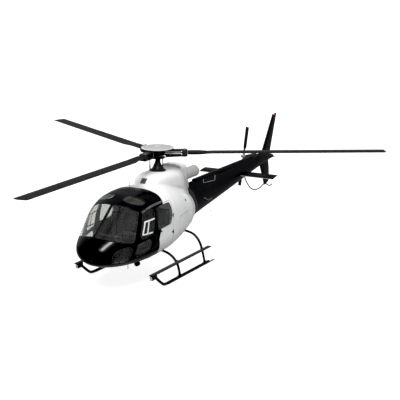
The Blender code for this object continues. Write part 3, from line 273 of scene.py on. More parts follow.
def outward(piece, dissolve=False):
    """Turn a closed mesh's faces outward."""
    bm = bmesh.new()
    bm.from_mesh(piece.data)
    bmesh.ops.remove_doubles(bm, verts=bm.verts, dist=1e-6)
    if dissolve:
        bmesh.ops.dissolve_degenerate(bm, dist=1e-7, edges=bm.edges)
    bmesh.ops.recalc_face_normals(bm, faces=bm.faces)
    bm.to_mesh(piece.data)
    bm.free()
    return piece


def solid_loft(name, table, depth=0.0):
    return outward(new_piece(name, *loft_parts(table, depth)))


def hollow_loft(name, table, out_depth, in_depth):
    """Skin between two depths below a lofted surface, closed at the tail end."""
    outer, faces = loft_parts(table, out_depth)
    shorter = [row for row in table if row[0] < CABIN_REAR]
    inner, more = loft_parts(shorter, in_depth, True, len(outer))
    piece = new_piece(name, outer + inner, faces + more)
    if signed_volume(outer, faces) < 0:
        piece.data.flip_normals()
    return piece


def signed_volume(verts, faces):
    total = 0.0
    for face in faces:
        a = verts[face[0]]
        for k in range(1, len(face) - 1):
            total += a.dot(verts[face[k]].cross(verts[face[k + 1]]))
    return total


def settle(piece):
    """Apply a piece's modifiers, or turn a curve into a plain mesh."""
    bpy.context.view_layer.update()
    graph = bpy.context.evaluated_depsgraph_get()
    mesh = bpy.data.meshes.new_from_object(piece.evaluated_get(graph))
    if piece.type == 'MESH':
        old = piece.data
        piece.modifiers.clear()
        piece.data = mesh
        bpy.data.meshes.remove(old)
        return piece
    name, place, data = piece.name, piece.matrix_world.copy(), piece.data
    bpy.data.objects.remove(piece)
    bpy.data.curves.remove(data)
    mesh.name = name
    piece = linked(name, mesh)
    piece.matrix_world = place
    return outward(piece)


def cut(piece, tool, how='DIFFERENCE'):
    """Cut, cross or join a piece with another, which is then taken away."""
    modifier = piece.modifiers.new(how.lower(), 'BOOLEAN')
    modifier.operation = how
    modifier.solver = 'MANIFOLD'
    modifier.object = tool
    settle(piece)
    if not len(piece.data.polygons):
        raise RuntimeError("%s: nothing is left after %s with %s" % (piece.name, how, tool.name))
    bpy.data.objects.remove(tool)
    return piece


def axes(x_way, y_way, z_way, origin=(0.0, 0.0, 0.0)):
    """Place at an origin whose axes point three ways."""
    turn = Matrix((tuple(x_way), tuple(y_way), tuple(z_way))).transposed()
    return Matrix.Translation(origin) @ turn.to_4x4()


# How an outline's own axes lie when it is drawn from the side, the front or above.
VIEWS = {'SIDE': axes((0, 1, 0), (0, 0, 1), (1, 0, 0)),
    'FRONT': axes((1, 0, 0), (0, 0, 1), (0, 1, 0)),
    'TOP': axes((1, 0, 0), (0, 1, 0), (0, 0, 1))}


def poly_curve(name, points, closed, **values):
    """Curve object of straight steps between points."""
    data = bpy.data.curves.new(name, 'CURVE')
    for key, value in values.items():
        setattr(data, key, value)
    line = data.splines.new('POLY')
    line.points.add(len(points) - 1)
    for point, place in zip(line.points, points):
        point.co = (*place, 1.0)
    line.use_cyclic_u = closed
    return linked(name, data)


def sheet_of(name, outline, low, high, matrix):
    """Filled outline, drawn as a curve and raised between two heights."""
    piece = settle(poly_curve(name, [(a, b, 0.0) for a, b in outline], True, dimensions='2D',
        fill_mode='BOTH', extrude=(high - low) / 2))
    piece.data.transform(matrix @ Matrix.Translation((0.0, 0.0, (low + high) / 2)))
    return outward(piece)


def punch(name, outline, view, side=1.0, grow=0.0, low=0.3, high=1.4):
    """Straight punch through the body, seen from the side, the front or above."""
    mirror = Matrix.Diagonal((side, 1.0, 1.0, 1.0))
    return sheet_of(name, grown(outline, grow), low, high, mirror @ VIEWS[view])


def screen_punch(side, grow=0.0):
    return punch("screen", rounded(WINDSCREEN, SCREEN_CORNER), 'FRONT', side, grow, -3.6, -1.9)


def roof_punch(side, grow=0.0):
    return punch("roof", flowing(ROOF_WINDOW), 'TOP', side, grow, 2.0, 2.6)


def chin_punch(side, grow=0.0, reach=0.25):
    """Punch along the chin window's own way of facing."""
    way = Vector(CHIN_WAY).normalized()
    across = Vector((0, 0, 1)).cross(way).normalized()
    up = way.cross(across)
    spokes = [Vector(p) - Vector(CHIN_MIDDLE) for p in CHIN_WINDOW]
    seen = [(spoke.dot(across), spoke.dot(up)) for spoke in spokes]
    mirror = Matrix.Diagonal((side, 1.0, 1.0, 1.0))
    return sheet_of("chin", grown(flowing(seen), grow), -reach, reach,
        mirror @ axes(across, up, way, CHIN_MIDDLE))


def grown(outline, grow):
    """Flat outline moved outward by a distance."""
    if not grow:
        return list(outline)
    points = np.array(outline, float)
    ahead, behind = np.roll(points, -1, 0) - points, points - np.roll(points, 1, 0)
    area = (points[:, 0] * np.roll(points, -1, 0)[:, 1] - np.roll(points, -1, 0)[:, 0]
        * points[:, 1]).sum()
    turn = np.array((1.0, -1.0)) * (1.0 if area > 0 else -1.0)
    outs = [turn * (way / np.linalg.norm(way, axis=1)[:, None])[:, ::-1]
        for way in (behind, ahead)]
    share = 1 + (outs[0] * outs[1]).sum(1)[:, None]
    return [tuple(p) for p in points + grow * (outs[0] + outs[1]) / share]


def rounded(outline, radius=0.05, steps=7):
    """Outline with its corners rounded."""
    found = []
    for k in range(len(outline)):
        p, q, r = (Vector(outline[j % len(outline)]) for j in (k - 1, k, k + 1))
        a, b = p - q, r - q
        size = min(radius, a.length * 0.48, b.length * 0.48)
        start, end = q + a.normalized() * size, q + b.normalized() * size
        for i in range(steps + 1):
            f = i / steps
            found.append(tuple(start * (1 - f) ** 2 + q * 2 * f * (1 - f) + end * f * f))
    return found


def flowing(points, steps=6, closed=True):
    """Smooth line through points of any dimension."""
    rows = [Vector(p) for p in points]
    count = len(rows)
    found = []
    for k in range(count if closed else count - 1):
        if closed:
            a, b, c, d = (rows[(k + j) % count] for j in (-1, 0, 1, 2))
        else:
            b, c = rows[k], rows[k + 1]
            a = rows[k - 1] if k else 2 * b - c
            d = rows[k + 2] if k + 2 < count else 2 * c - b
        for i in range(steps):
            t = i / steps
            found.append(tuple(0.5 * (2 * b + (c - a) * t + (2 * a - 5 * b + 4 * c - d) * t * t
                + (3 * b - a - 3 * c + d) * t ** 3)))
    return found if closed else found + [tuple(rows[-1])]


def dense(points, gap, closed=True):
    """Outline with more points, none further apart than a gap."""
    found = []
    for k in range(len(points) if closed else len(points) - 1):
        a, b = Vector(points[k]), Vector(points[(k + 1) % len(points)])
        parts = max(1, math.ceil((b - a).length / gap))
        found += [tuple(a.lerp(b, i / parts)) for i in range(parts)]
    return found if closed else found + [tuple(points[-1])]


def rod(name, points, radius, sides=16, closed=False):
    """Round bar along points."""
    return settle(poly_curve(name, points, closed, dimensions='3D', bevel_depth=radius,
        bevel_resolution=max(sides // 2 - 2, 0), use_fill_caps=True))


def turned(name, profile, origin=(0, 0, 0), way=(0, 0, 1), sides=64):
    """Turned part; profile is radius and height, from the bottom of the outer side up."""
    way = Vector(way).normalized()
    across = way.orthogonal().normalized()
    place = axes(across, way.cross(across), way, origin)
    verts = []
    for radius, height in profile:
        for k in range(sides):
            angle = 2 * math.pi * k / sides
            verts.append(place @ Vector((radius * math.cos(angle), radius * math.sin(angle),
                height)))
    return outward(new_piece(name, verts, tube_faces(len(profile), sides, True)), True)


def disc(name, radius, low, high, origin=(0, 0, 0), way=(0, 0, 1), sides=64):
    """Plain round plate or pin."""
    return turned(name, ((0.0, low), (radius, low), (radius, high), (0.0, high)), origin, way,
        sides)


def block(name, low, high, edge=0.006, side=1.0, segments=3):
    """Cuboid with rounded edges."""
    bm = bmesh.new()
    size = Vector(high) - Vector(low)
    middle = (Vector(high) + Vector(low)) / 2
    middle.x *= side
    bmesh.ops.create_cube(bm, size=1.0, matrix=Matrix.Translation(middle)
        @ Matrix.Diagonal((*size, 1.0)))
    if edge:
        bmesh.ops.bevel(bm, geom=bm.edges[:], offset=min(edge, min(size) * 0.45),
            segments=segments, affect='EDGES', profile=0.5)
    return from_bmesh(name, bm)


def swung(piece, angle):
    """Turn a piece's points about the mast, in degrees."""
    piece.data.transform(Matrix.Rotation(math.radians(angle), 4, 'Z'))
    return piece


def joined(name, pieces):
    """Several pieces as one object."""
    bm = bmesh.new()
    for piece in pieces:
        bm.from_mesh(piece.data)
    for piece in pieces:
        bpy.data.objects.remove(piece)
    return from_bmesh(name, bm)


def skin_tree(name, table):
    """Search tree of a lofted surface, for laying trim on it."""
    if name not in surfaces:
        verts, faces = loft_parts(table)
        surfaces[name] = BVHTree.FromPolygons([tuple(v) for v in verts], faces)
    return surfaces[name]


def laid(tree, points, way, proud=0.0):
    """Points pushed along a way onto a surface, with the surface's outward direction."""
    way = Vector(way).normalized()
    found = []
    for point in points:
        start = Vector(point) - way * 1.5
        place, normal, _, _ = tree.ray_cast(start, way)
        if place is None:
            place, normal, _, _ = tree.find_nearest(Vector(point))
        if normal.dot(way) > 0:
            normal = -normal
        found.append((place + normal * proud, normal))
    return found


def on_side(side, spots, proud=0.0):
    """Spots of y and z laid on one side of the body, with its outward directions."""
    return laid(surfaces["hull"], [(side * 2.0, y, z) for y, z in spots], (-side, 0, 0), proud)


def bead(name, line, radius, sides=8, closed=True):
    return rod(name, line, radius, sides, closed)


def studs(name, spots, radius=0.005, height=0.003):
    """Low round heads set on a surface."""
    bm = bmesh.new()
    for place, normal in spots:
        normal = Vector(normal)
        across = normal.orthogonal().normalized()
        turn = axes(across, normal.cross(across), normal, place)
        bmesh.ops.create_cone(bm, cap_ends=True, segments=10, radius1=radius, radius2=radius * 0.6,
            depth=height, matrix=turn @ Matrix.Translation((0, 0, height * 0.4)))
    return from_bmesh(name, bm)


def foil(chord, thick, steps=16):
    """Outline of an aerofoil, from its leading edge over the top and back below."""
    upper = []
    for i in range(steps + 1):
        x = (1 - math.cos(math.pi * i / steps)) / 2
        t = 5 * (0.2969 * math.sqrt(x) - 0.126 * x - 0.3516 * x * x + 0.2843 * x ** 3 - 0.1015
            * x ** 4)
        upper.append((x * chord, max(t * thick, 0.001 if i else 0.0)))
    return upper + [(x, -z) for x, z in reversed(upper[1:])]


def wing(name, sections, steps=16):
    """Aerofoil loft; each section is lead point, chord way, thickness way, chord, thickness."""
    verts = []
    for lead, chord_way, thick_way, chord, thick in sections:
        verts += [Vector(lead) + Vector(chord_way) * a + Vector(thick_way) * b
            for a, b in foil(chord, thick, steps)]
    faces = tube_faces(len(sections), len(verts) // len(sections))
    return outward(new_piece(name, verts, faces))


def dress(piece, finish, body="airframe", slot=None, replaces=(), angle=32, weigh=False,
        inner=None):
    """Shade a piece, give it its finish and hang it on its body."""
    deep = []
    if inner:
        tree = surfaces["hull"]
        deep = [face.index for face in piece.data.polygons
            if tree.find_nearest(face.center)[3] > SKIN * 0.6]
    piece.data.transform(Matrix.Translation((0.0, MAST_SHIFT, 0.0)))
    piece.data.shade_smooth()
    piece.data.set_sharp_from_angle(angle=math.radians(angle))
    if weigh:
        modifier = piece.modifiers.new("even_shading", 'WEIGHTED_NORMAL')
        modifier.keep_sharp = True
    piece.data.materials.clear()
    piece.data.materials.append(finishes[finish])
    if inner:
        piece.data.materials.append(finishes[inner])
        for index in deep:
            piece.data.polygons[index].material_index = 1
    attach(piece, body)
    if replaces:
        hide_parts(*replaces)
    return piece


def stand_in(piece, finish, solid, body="airframe", **more):
    """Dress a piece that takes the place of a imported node."""
    return dress(piece, finish, body, solid, (solid,), **more)


# Finishes.

def node(tree, kind, **values):
    made = tree.nodes.new(kind)
    for name, value in values.items():
        if hasattr(made, name):
            setattr(made, name, value)
        else:
            made.inputs[name.replace("_", " ")].default_value = value
    return made


def wire(source, target, socket):
    """Lead an output to a node's input."""
    target.id_data.links.new(source, target.inputs[socket])


def placed(tree, coords, kind, **values):
    """Node that is fed with coordinates."""
    made = node(tree, kind, **values)
    wire(coords, made, "Vector")
    return made


def cloudy(tree, coords, scale, detail=6.0):
    return placed(tree, coords, "ShaderNodeTexNoise", Scale=scale, Detail=detail).outputs["Fac"]


def waves(tree, coords, way, **values):
    return placed(tree, coords, "ShaderNodeTexWave", bands_direction=way, **values).outputs["Fac"]


def ranged(tree, source, low, high, top=1.0):
    """Share of the way from a low to a high value."""
    made = node(tree, "ShaderNodeMapRange", From_Min=low, From_Max=high, To_Max=top)
    wire(source, made, "Value")
    return made.outputs["Result"]


def reckoned(tree, operation, *values):
    """Sum, product or the like of sockets or numbers."""
    made = node(tree, "ShaderNodeMath", operation=operation)
    for k, value in enumerate(values):
        if isinstance(value, float):
            made.inputs[k].default_value = value
        else:
            wire(value, made, k)
    return made.outputs[0]


def bumped(shader, height, strength, distance=0.001):
    """Fine relief on a finish."""
    bump = node(shader.id_data, "ShaderNodeBump", Strength=strength, Distance=distance)
    wire(height, bump, "Height")
    wire(bump.outputs["Normal"], shader, "Normal")


def ramp(tree, source, stops):
    """Colours, or single shades, at places along a value."""
    made = tree.nodes.new("ShaderNodeValToRGB")
    line = made.color_ramp.elements
    while len(line) < len(stops):
        line.new(0.5)
    for element, (place, colour) in zip(line, stops):
        element.position = place
        element.color = (*colour, 1.0) if len(colour) == 3 else (colour[0],) * 3 + (1.0,)
    wire(source, made, "Fac")
    return made.outputs["Color"]


def shaded(colour, share):
    return tuple(min(c * share, 1.0) for c in colour)


def new_finish(name, rough, metal=0.0, coat=0.0, relief=0.0, relief_scale=300.0, spread=0.06,
        **sockets):
    """Material with uneven gloss and fine relief; returns its tree, coordinates and shader."""
    material = finishes[name] = bpy.data.materials.new(name)
    material.use_nodes = True
    tree = material.node_tree
    shader = tree.nodes["Principled BSDF"]
    sockets.update(Metallic=metal, Coat_Weight=coat, Coat_Roughness=0.04)
    for socket, value in sockets.items():
        shader.inputs[socket.replace("_", " ")].default_value = value
    coords = tree.nodes.new("ShaderNodeTexCoord").outputs["Object"]
    gloss = node(tree, "ShaderNodeMapRange", To_Min=max(rough - spread, 0.01),
        To_Max=rough + spread)
    wire(cloudy(tree, coords, 9.0), gloss, "Value")
    wire(gloss.outputs["Result"], shader, "Roughness")
    if relief:
        bumped(shader, cloudy(tree, coords, relief_scale, 3.0), relief)
    return tree, coords, shader


def blotched(tree, coords, colour, change=0.12, scale=6.0):
    """A colour that drifts a little over the surface."""
    low, high = shaded(colour, 1 - change), shaded(colour, 1 + change)
    return ramp(tree, cloudy(tree, coords, scale), ((0.3, low), (0.7, high)))


def plain_finish(name, colour, rough, change=0.12, scale=6.0, relief=0.15, **values):
    tree, coords, shader = new_finish(name, rough, relief=relief, **values)
    wire(blotched(tree, coords, colour, change, scale), shader, "Base Color")


def mixed(tree, share, first, second):
    """Blend of two colours, each a socket or a plain colour."""
    made = node(tree, "ShaderNodeMix", data_type='RGBA')
    for place, value in (("A", first), ("B", second)):
        socket = [s for s in made.inputs if s.name == place and s.type == 'RGBA'][0]
        if isinstance(value, tuple):
            socket.default_value = (*value, 1.0)
        else:
            tree.links.new(value, socket)
    wire(share, made, "Factor")
    return [s for s in made.outputs if s.type == 'RGBA'][0]


def body_paint(scheme):
    """Two gloss paints with the border line along the body, dust low down on the sides."""
    tree, coords, shader = new_finish("body_paint", 0.19, relief=0.04, relief_scale=90.0,
        spread=0.04, Specular_IOR_Level=0.045)
    parts = placed(tree, coords, "ShaderNodeSeparateXYZ").outputs
    lead, top = 2.0, 3.0
    border = ramp(tree, ranged(tree, parts["Z"], 0.0, top),
        [(z / top, (y + lead,)) for z, y in PAINT_LINE])
    place = reckoned(tree, 'ADD', parts["Y"], lead - MAST_SHIFT)
    # Light paint lies behind the border line and ahead of the boom's joint.
    behind = ranged(tree, reckoned(tree, 'SUBTRACT', place, border), 0.0, 0.004)
    ahead = ranged(tree, place, 3.272, 3.268)
    dark = blotched(tree, coords, scheme.dark, 0.3, 4.0)
    pale = blotched(tree, coords, scheme.light, 0.03, 3.0)
    coat = mixed(tree, reckoned(tree, 'MULTIPLY', behind, ahead), dark, pale)
    dust = ranged(tree, parts["Z"], 0.95, 0.55, 0.09)
    patchy = reckoned(tree, 'MULTIPLY', dust, cloudy(tree, coords, 5.0))
    wire(mixed(tree, patchy, coat, (0.16, 0.145, 0.12)), shader, "Base Color")


def woven(scheme):
    """Seat cloth: fine crossed threads, a little sheen and faded patches."""
    tree, coords, shader = new_finish("seat_cloth", 0.85, Sheen_Weight=0.35, Sheen_Roughness=0.5)
    one, two, three = (waves(tree, coords, way, Scale=160.0, Distortion=1.2, Detail=2.0)
        for way in 'XYZ')
    threads = reckoned(tree, 'ADD', reckoned(tree, 'MULTIPLY', one, two), three)
    bumped(shader, threads, 0.5, 0.002)
    low, high = shaded(scheme.seats, 0.6), shaded(scheme.seats, 1.5)
    shade = ramp(tree, threads, ((0.1, low), (0.9, high)))
    faded = mixed(tree, cloudy(tree, coords, 7.0), shade, shaded(scheme.seats, 1.7))
    wire(faded, shader, "Base Color")


def brushed(name, colour, rough, way, metal=1.0):
    """Metal with fine lines one way."""
    tree, coords, shader = new_finish(name, rough, metal)
    stretch = placed(tree, coords, "ShaderNodeMapping",
        Scale=[2 if axis == way else 90 for axis in 'XYZ'])
    lines = cloudy(tree, stretch.outputs["Vector"], 3.0, 8.0)
    bumped(shader, lines, 0.2, 0.0006)
    shade = ramp(tree, lines, ((0.25, shaded(colour, 0.75)), (0.75, shaded(colour, 1.15))))
    wire(shade, shader, "Base Color")


def glazing(name, tint, haze=0.009):
    """Tinted sheet glazing with faint wipe marks in its gloss."""
    tree, coords, shader = new_finish(name, 0.03, spread=0.02, Transmission_Weight=1.0 - haze,
        IOR=1.25, Specular_IOR_Level=0.12)
    wire(blotched(tree, coords, tint, 0.04, 2.0), shader, "Base Color")


def make_finishes(scheme):
    body_paint(scheme)
    woven(scheme)
    plain_finish("cowl_paint", scheme.light, 0.24, relief=0.04, relief_scale=80.0, change=0.03,
        Specular_IOR_Level=0.35)
    plain_finish("boom_paint", scheme.dark, 0.36, relief=0.06, relief_scale=70.0, change=0.3,
        Specular_IOR_Level=0.06)
    plain_finish("gear_paint", (0.005, 0.005, 0.0055), 0.42, relief=0.25, relief_scale=240.0,
        change=0.4, scale=14.0, Specular_IOR_Level=0.12)
    plain_finish("tread", (0.02, 0.02, 0.021), 0.85, relief=1.0, relief_scale=520.0, change=0.4,
        scale=40.0)
    plain_finish("rubber", (0.012, 0.012, 0.012), 0.7, relief=0.3, change=0.3)
    plain_finish("lining", (0.022, 0.022, 0.023), 0.85, relief=0.5, relief_scale=500.0,
        change=0.25)
    plain_finish("panel_plastic", (0.012, 0.012, 0.0125), 0.7, relief=0.4, relief_scale=650.0,
        change=0.3)
    plain_finish("dial_face", (0.006, 0.007, 0.008), 0.12, coat=0.8, change=0.3)
    plain_finish("dial_mark", (0.75, 0.76, 0.72), 0.5, change=0.1)
    plain_finish("fairing_black", (0.012, 0.012, 0.0125), 0.36, relief=0.3, change=0.45,
        scale=14.0, Specular_IOR_Level=0.16)
    plain_finish("sleeve_black", (0.016, 0.016, 0.0165), 0.42, relief=0.3, change=0.45, scale=18.0,
        Specular_IOR_Level=0.16)
    plain_finish("composite_grey", (0.56, 0.56, 0.54), 0.5, relief=0.25, change=0.1, scale=11.0)
    plain_finish("white_trim", (0.88, 0.88, 0.87), 0.35, coat=0.4, relief=0.1, change=0.04)
    plain_finish("grey_trim", (0.34, 0.34, 0.35), 0.45, relief=0.15, change=0.12)
    plain_finish("lamp_orange", (0.8, 0.22, 0.03), 0.15, coat=0.9, change=0.1,
        Emission_Strength=0.15)
    plain_finish("lamp_glass", (0.75, 0.77, 0.78), 0.08, coat=0.9, change=0.08)
    plain_finish("collar_black", (0.016, 0.016, 0.017), 0.45, relief=0.2, change=0.3,
        Specular_IOR_Level=0.3)
    plain_finish("grille_grey", (0.13, 0.13, 0.135), 0.5, relief=0.2, change=0.2, scale=30.0)
    wire_screen()
    plain_finish("bolt", (0.32, 0.32, 0.33), 0.4, metal=0.9, relief=0.2, change=0.2, scale=60.0)
    plain_finish("floor_mat", (0.02, 0.02, 0.021), 0.9, relief=1.0, relief_scale=420.0, change=0.3,
        scale=30.0)
    plain_finish("rod_grey", (0.1, 0.1, 0.1), 0.4, metal=0.3, relief=0.1, change=0.3, scale=20.0)
    blade_finish()
    cap_finish()
    brushed("mast_steel", (0.42, 0.42, 0.43), 0.32, 'Z')
    brushed("guard_steel", (0.02, 0.02, 0.0205), 0.5, 'Y', 0.2)
    exhaust_finish()
    glazing("screen_glass", scheme.tint)
    glazing("side_glass", shaded(scheme.tint, 0.62), 0.004)


def cap_finish():
    """Turned plate: paler rim and middle, darker rings between them."""
    tree, coords, shader = new_finish("cap_metal", 0.42, metal=0.15, relief=0.1, relief_scale=40.0)
    flat = placed(tree, coords, "ShaderNodeMapping", Location=(0.0, -MAST_SHIFT, 0.0),
        Scale=(1.0, 1.0, 0.0))
    reach = placed(tree, flat.outputs["Vector"], "ShaderNodeVectorMath", operation='LENGTH')
    rim = 0.45
    rings = ramp(tree, ranged(tree, reach.outputs["Value"], 0.0, rim),
        [(r / rim, (c,)) for r, c in ((0.0, 0.62), (0.085, 0.66), (0.1, 0.4), (0.15, 0.36),
        (0.22, 0.44), (0.24, 0.36), (0.31, 0.43), (0.325, 0.34), (0.385, 0.46), (0.4, 0.62),
        (0.44, 0.72))])
    wire(mixed(tree, cloudy(tree, coords, 7.0), rings, (0.5, 0.5, 0.49)), shader, "Base Color")


def wire_screen():
    """Grey mesh over the deck intake: fine crossed wires over a darker ground, which is painted
    shade for the hollow of the intake behind the wires.
    """
    tree, coords, shader = new_finish("wire_screen", 0.55, metal=0.2)
    wires = reckoned(tree, 'MAXIMUM', *(waves(tree, coords, way, Scale=38.0) for way in 'XY'))
    # The dark ground between the wires is painted shade: the screen lies on the closed deck, with
    # no hollow behind it.
    wire(ramp(tree, wires, ((0.55, (0.26,)), (0.9, (0.48,)))), shader, "Base Color")
    bumped(shader, wires, 0.6, 0.003)


def blade_finish():
    """Dark composite blade skin with long streaks."""
    tree, coords, shader = new_finish("blade_skin", 0.5, Specular_IOR_Level=0.09)
    streaks = ramp(tree, cloudy(tree, coords, 14.0, 8.0),
        ((0.25, (0.006, 0.006, 0.006)), (0.55, (0.012, 0.012, 0.0125)),
        (0.8, (0.026, 0.0255, 0.025))))
    wire(streaks, shader, "Base Color")
    bumped(shader, cloudy(tree, coords, 120.0), 0.15)


def exhaust_finish():
    """Pale metal pipe, yellowed and sooty toward its open end."""
    tree, coords, shader = new_finish("exhaust_metal", 0.42, metal=0.55, relief=0.2,
        relief_scale=60.0)
    along = ranged(tree, placed(tree, coords, "ShaderNodeSeparateXYZ").outputs["Y"], 0.7, 1.36)
    heat = ramp(tree, along, ((0.0, (0.66, 0.65, 0.63)), (0.7, (0.62, 0.6, 0.56)),
        (0.93, (0.5, 0.46, 0.4)), (1.0, (0.16, 0.15, 0.14))))
    wire(mixed(tree, cloudy(tree, coords, 8.0), heat, (0.5, 0.49, 0.48)), shader, "Base Color")


# Operators: one for each piece or group of like pieces.

class HELI_OT_finishes(bpy.types.Operator):
    """Paints, metals, glass and cloth from the chosen colours"""
    bl_idname = "helicopter.finishes"
    bl_label = "Finishes"

    def execute(self, context):
        make_finishes(context.scene.helicopter_paint)
        return {'FINISHED'}


class HELI_OT_body_skin(bpy.types.Operator):
    """Smooth nose, canopy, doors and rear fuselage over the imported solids"""
    bl_idname = "helicopter.body_skin"
    bl_label = "Body skin"

    def execute(self, context):
        rows = eased(HULL)
        skin_tree("hull", rows)
        skin = hollow_loft("skin", rows, 0.0, SKIN)
        body = solid_loft("rear_body", rows)
        painted = {"weigh": True, "inner": "lining"}

        nose, canopy = copy_of(skin, "nose_skin"), copy_of(skin, "canopy_skin")
        cut(nose, punch("nose_edge", NOSE_EDGE, 'SIDE', low=-1.4), 'INTERSECT')
        cut(canopy, punch("canopy_edge", CANOPY_EDGE, 'SIDE', low=-1.4), 'INTERSECT')
        for side, _ in SIDES:
            cut(nose, chin_punch(side))
            cut(nose, punch("door", rounded(FRONT_DOOR), 'SIDE', side))
            cut(canopy, screen_punch(side))
            cut(canopy, roof_punch(side))
            for outline in (FRONT_DOOR, REAR_DOOR):
                cut(canopy, punch("door", rounded(outline), 'SIDE', side))
        stand_in(nose, "body_paint", "nose_shell", **painted)
        stand_in(canopy, "body_paint", "canopy_frame", **painted)

        for side, word in SIDES:
            for kind, outline, panes in DOORS:
                name = "door_%s_%s" % (kind, word)
                door = copy_of(skin, "door_skin_%s_%s" % (kind, word))
                cut(door, punch("edge", rounded(outline), 'SIDE', side, -0.008), 'INTERSECT')
                for _, pane in panes:
                    cut(door, punch("hole", rounded(pane, PANE_CORNER), 'SIDE', side))
                stand_in(door, "body_paint", name, name, **painted)
            name = "baggage_door_" + word
            door = copy_of(skin, "baggage_skin_" + word)
            hold = rounded(BAGGAGE_DOOR, 0.04)
            cut(door, punch("edge", hold, 'SIDE', side, -0.006, 0.12), 'INTERSECT')
            stand_in(door, "body_paint", name, name, **painted)
            cut(body, punch("hold", hold, 'SIDE', side, 0.0, 0.12))
        cut(body, block("rear_half", (-1.5, -0.6, 0.0), (1.5, 1.7, 3.0), 0.0), 'INTERSECT')
        stand_in(body, "body_paint", "rear_fuselage", weigh=True)
        bpy.data.objects.remove(skin)
        bare("cabin_floor", "floor_mat")
        return {'FINISHED'}


def copy_of(piece, name):
    return linked(name, piece.data.copy())


def bare(name, finish):
    """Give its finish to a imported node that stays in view."""
    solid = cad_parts[name]
    solid.data.materials.clear()
    solid.data.materials.append(finishes[finish])


def paned(sheet, label, tool, finish, solid, line, body="airframe"):
    """Pane cut from the sheet of glass, and the rubber bead laid round it."""
    pane = copy_of(sheet, label % "pane")
    cut(pane, tool, 'INTERSECT')
    stand_in(pane, finish, solid, body)
    rubber = bpy.context.scene.helicopter_sizes.seal
    dress(bead(label % "seal", [p for p, _ in line], rubber), "rubber", body)


class HELI_OT_glazing(bpy.types.Operator):
    """Panes of the windscreen, roof, nose and doors, each in its rubber bead"""
    bl_idname = "helicopter.glazing"
    bl_label = "Glazing"

    def execute(self, context):
        tree, sunk = surfaces["hull"], -0.001
        sheet = hollow_loft("sheet", eased(HULL), *PANE_DEPTHS)
        for side, word in SIDES:
            screen = dense(rounded(WINDSCREEN, SCREEN_CORNER), 0.02)
            line = laid(tree, [(side * x, -3.0, z) for x, z in screen], (0, 1, 0), sunk)
            paned(sheet, "screen_%s_" + word, screen_punch(side, PANE_FIT), "screen_glass",
                "windscreen_" + word, line)
            roof = flowing(ROOF_WINDOW)
            line = laid(tree, [(side * x, y, 2.4) for x, y in roof], (0, 0, -1), sunk)
            paned(sheet, "roof_%s_" + word, roof_punch(side, PANE_FIT), "side_glass",
                "roof_window_" + word, line)
            way, chin = Vector(CHIN_WAY), flowing(CHIN_WINDOW)
            line = laid(tree, [(side * x, y, z) for x, y, z in chin],
                (-side * way.x, -way.y, -way.z), sunk)
            paned(sheet, "chin_%s_" + word, chin_punch(side, PANE_FIT), "side_glass",
                "chin_window_" + word, line)
            for kind, _, panes in DOORS:
                for spot, outline in panes:
                    label, end = kind + "_%s_" + spot + "_" + word, "_%s_%s" % (kind, word)
                    edge = rounded(outline, PANE_CORNER)
                    tool = punch("edge", edge, 'SIDE', side, PANE_FIT)
                    line = on_side(side, dense(edge, 0.03), sunk)
                    paned(sheet, label, tool, "side_glass", "glass" + end, line, "door" + end)
            storm_window(side, word)
        bpy.data.objects.remove(sheet)
        return {'FINISHED'}


def storm_window(side, word):
    """Small sliding window in the front door: white frame and divider on the pane."""
    top_fore, top_rear, low_rear, low_fore = STORM_WINDOW
    lines = (((top_rear, top_fore, low_fore), 0.034), (((-1.925, 1.79), (-2.035, 1.48)), 0.027),
        ((low_fore, low_rear), 0.032))
    bars = []
    for line, width in lines:
        points = on_side(side, dense(line, 0.02, False), -0.004)
        bars.append(band("bar", points, width, 0.012))
    dress(joined("storm_frame_" + word, bars), "white_trim", "door_front_" + word)


def band(name, points, width, thick):
    """Band of a width and a thickness along laid points."""
    verts = []
    for k, (place, normal) in enumerate(points):
        ahead, behind = points[min(k + 1, len(points) - 1)][0], points[max(k - 1, 0)][0]
        out = normal.normalized()
        across = (ahead - behind).normalized().cross(out).normalized() * width / 2
        for a, b in ((-1, 0), (1, 0), (1, 1), (-1, 1)):
            verts.append(place + across * a + out * thick * b)
    return outward(new_piece(name, verts, tube_faces(len(points), 4)))


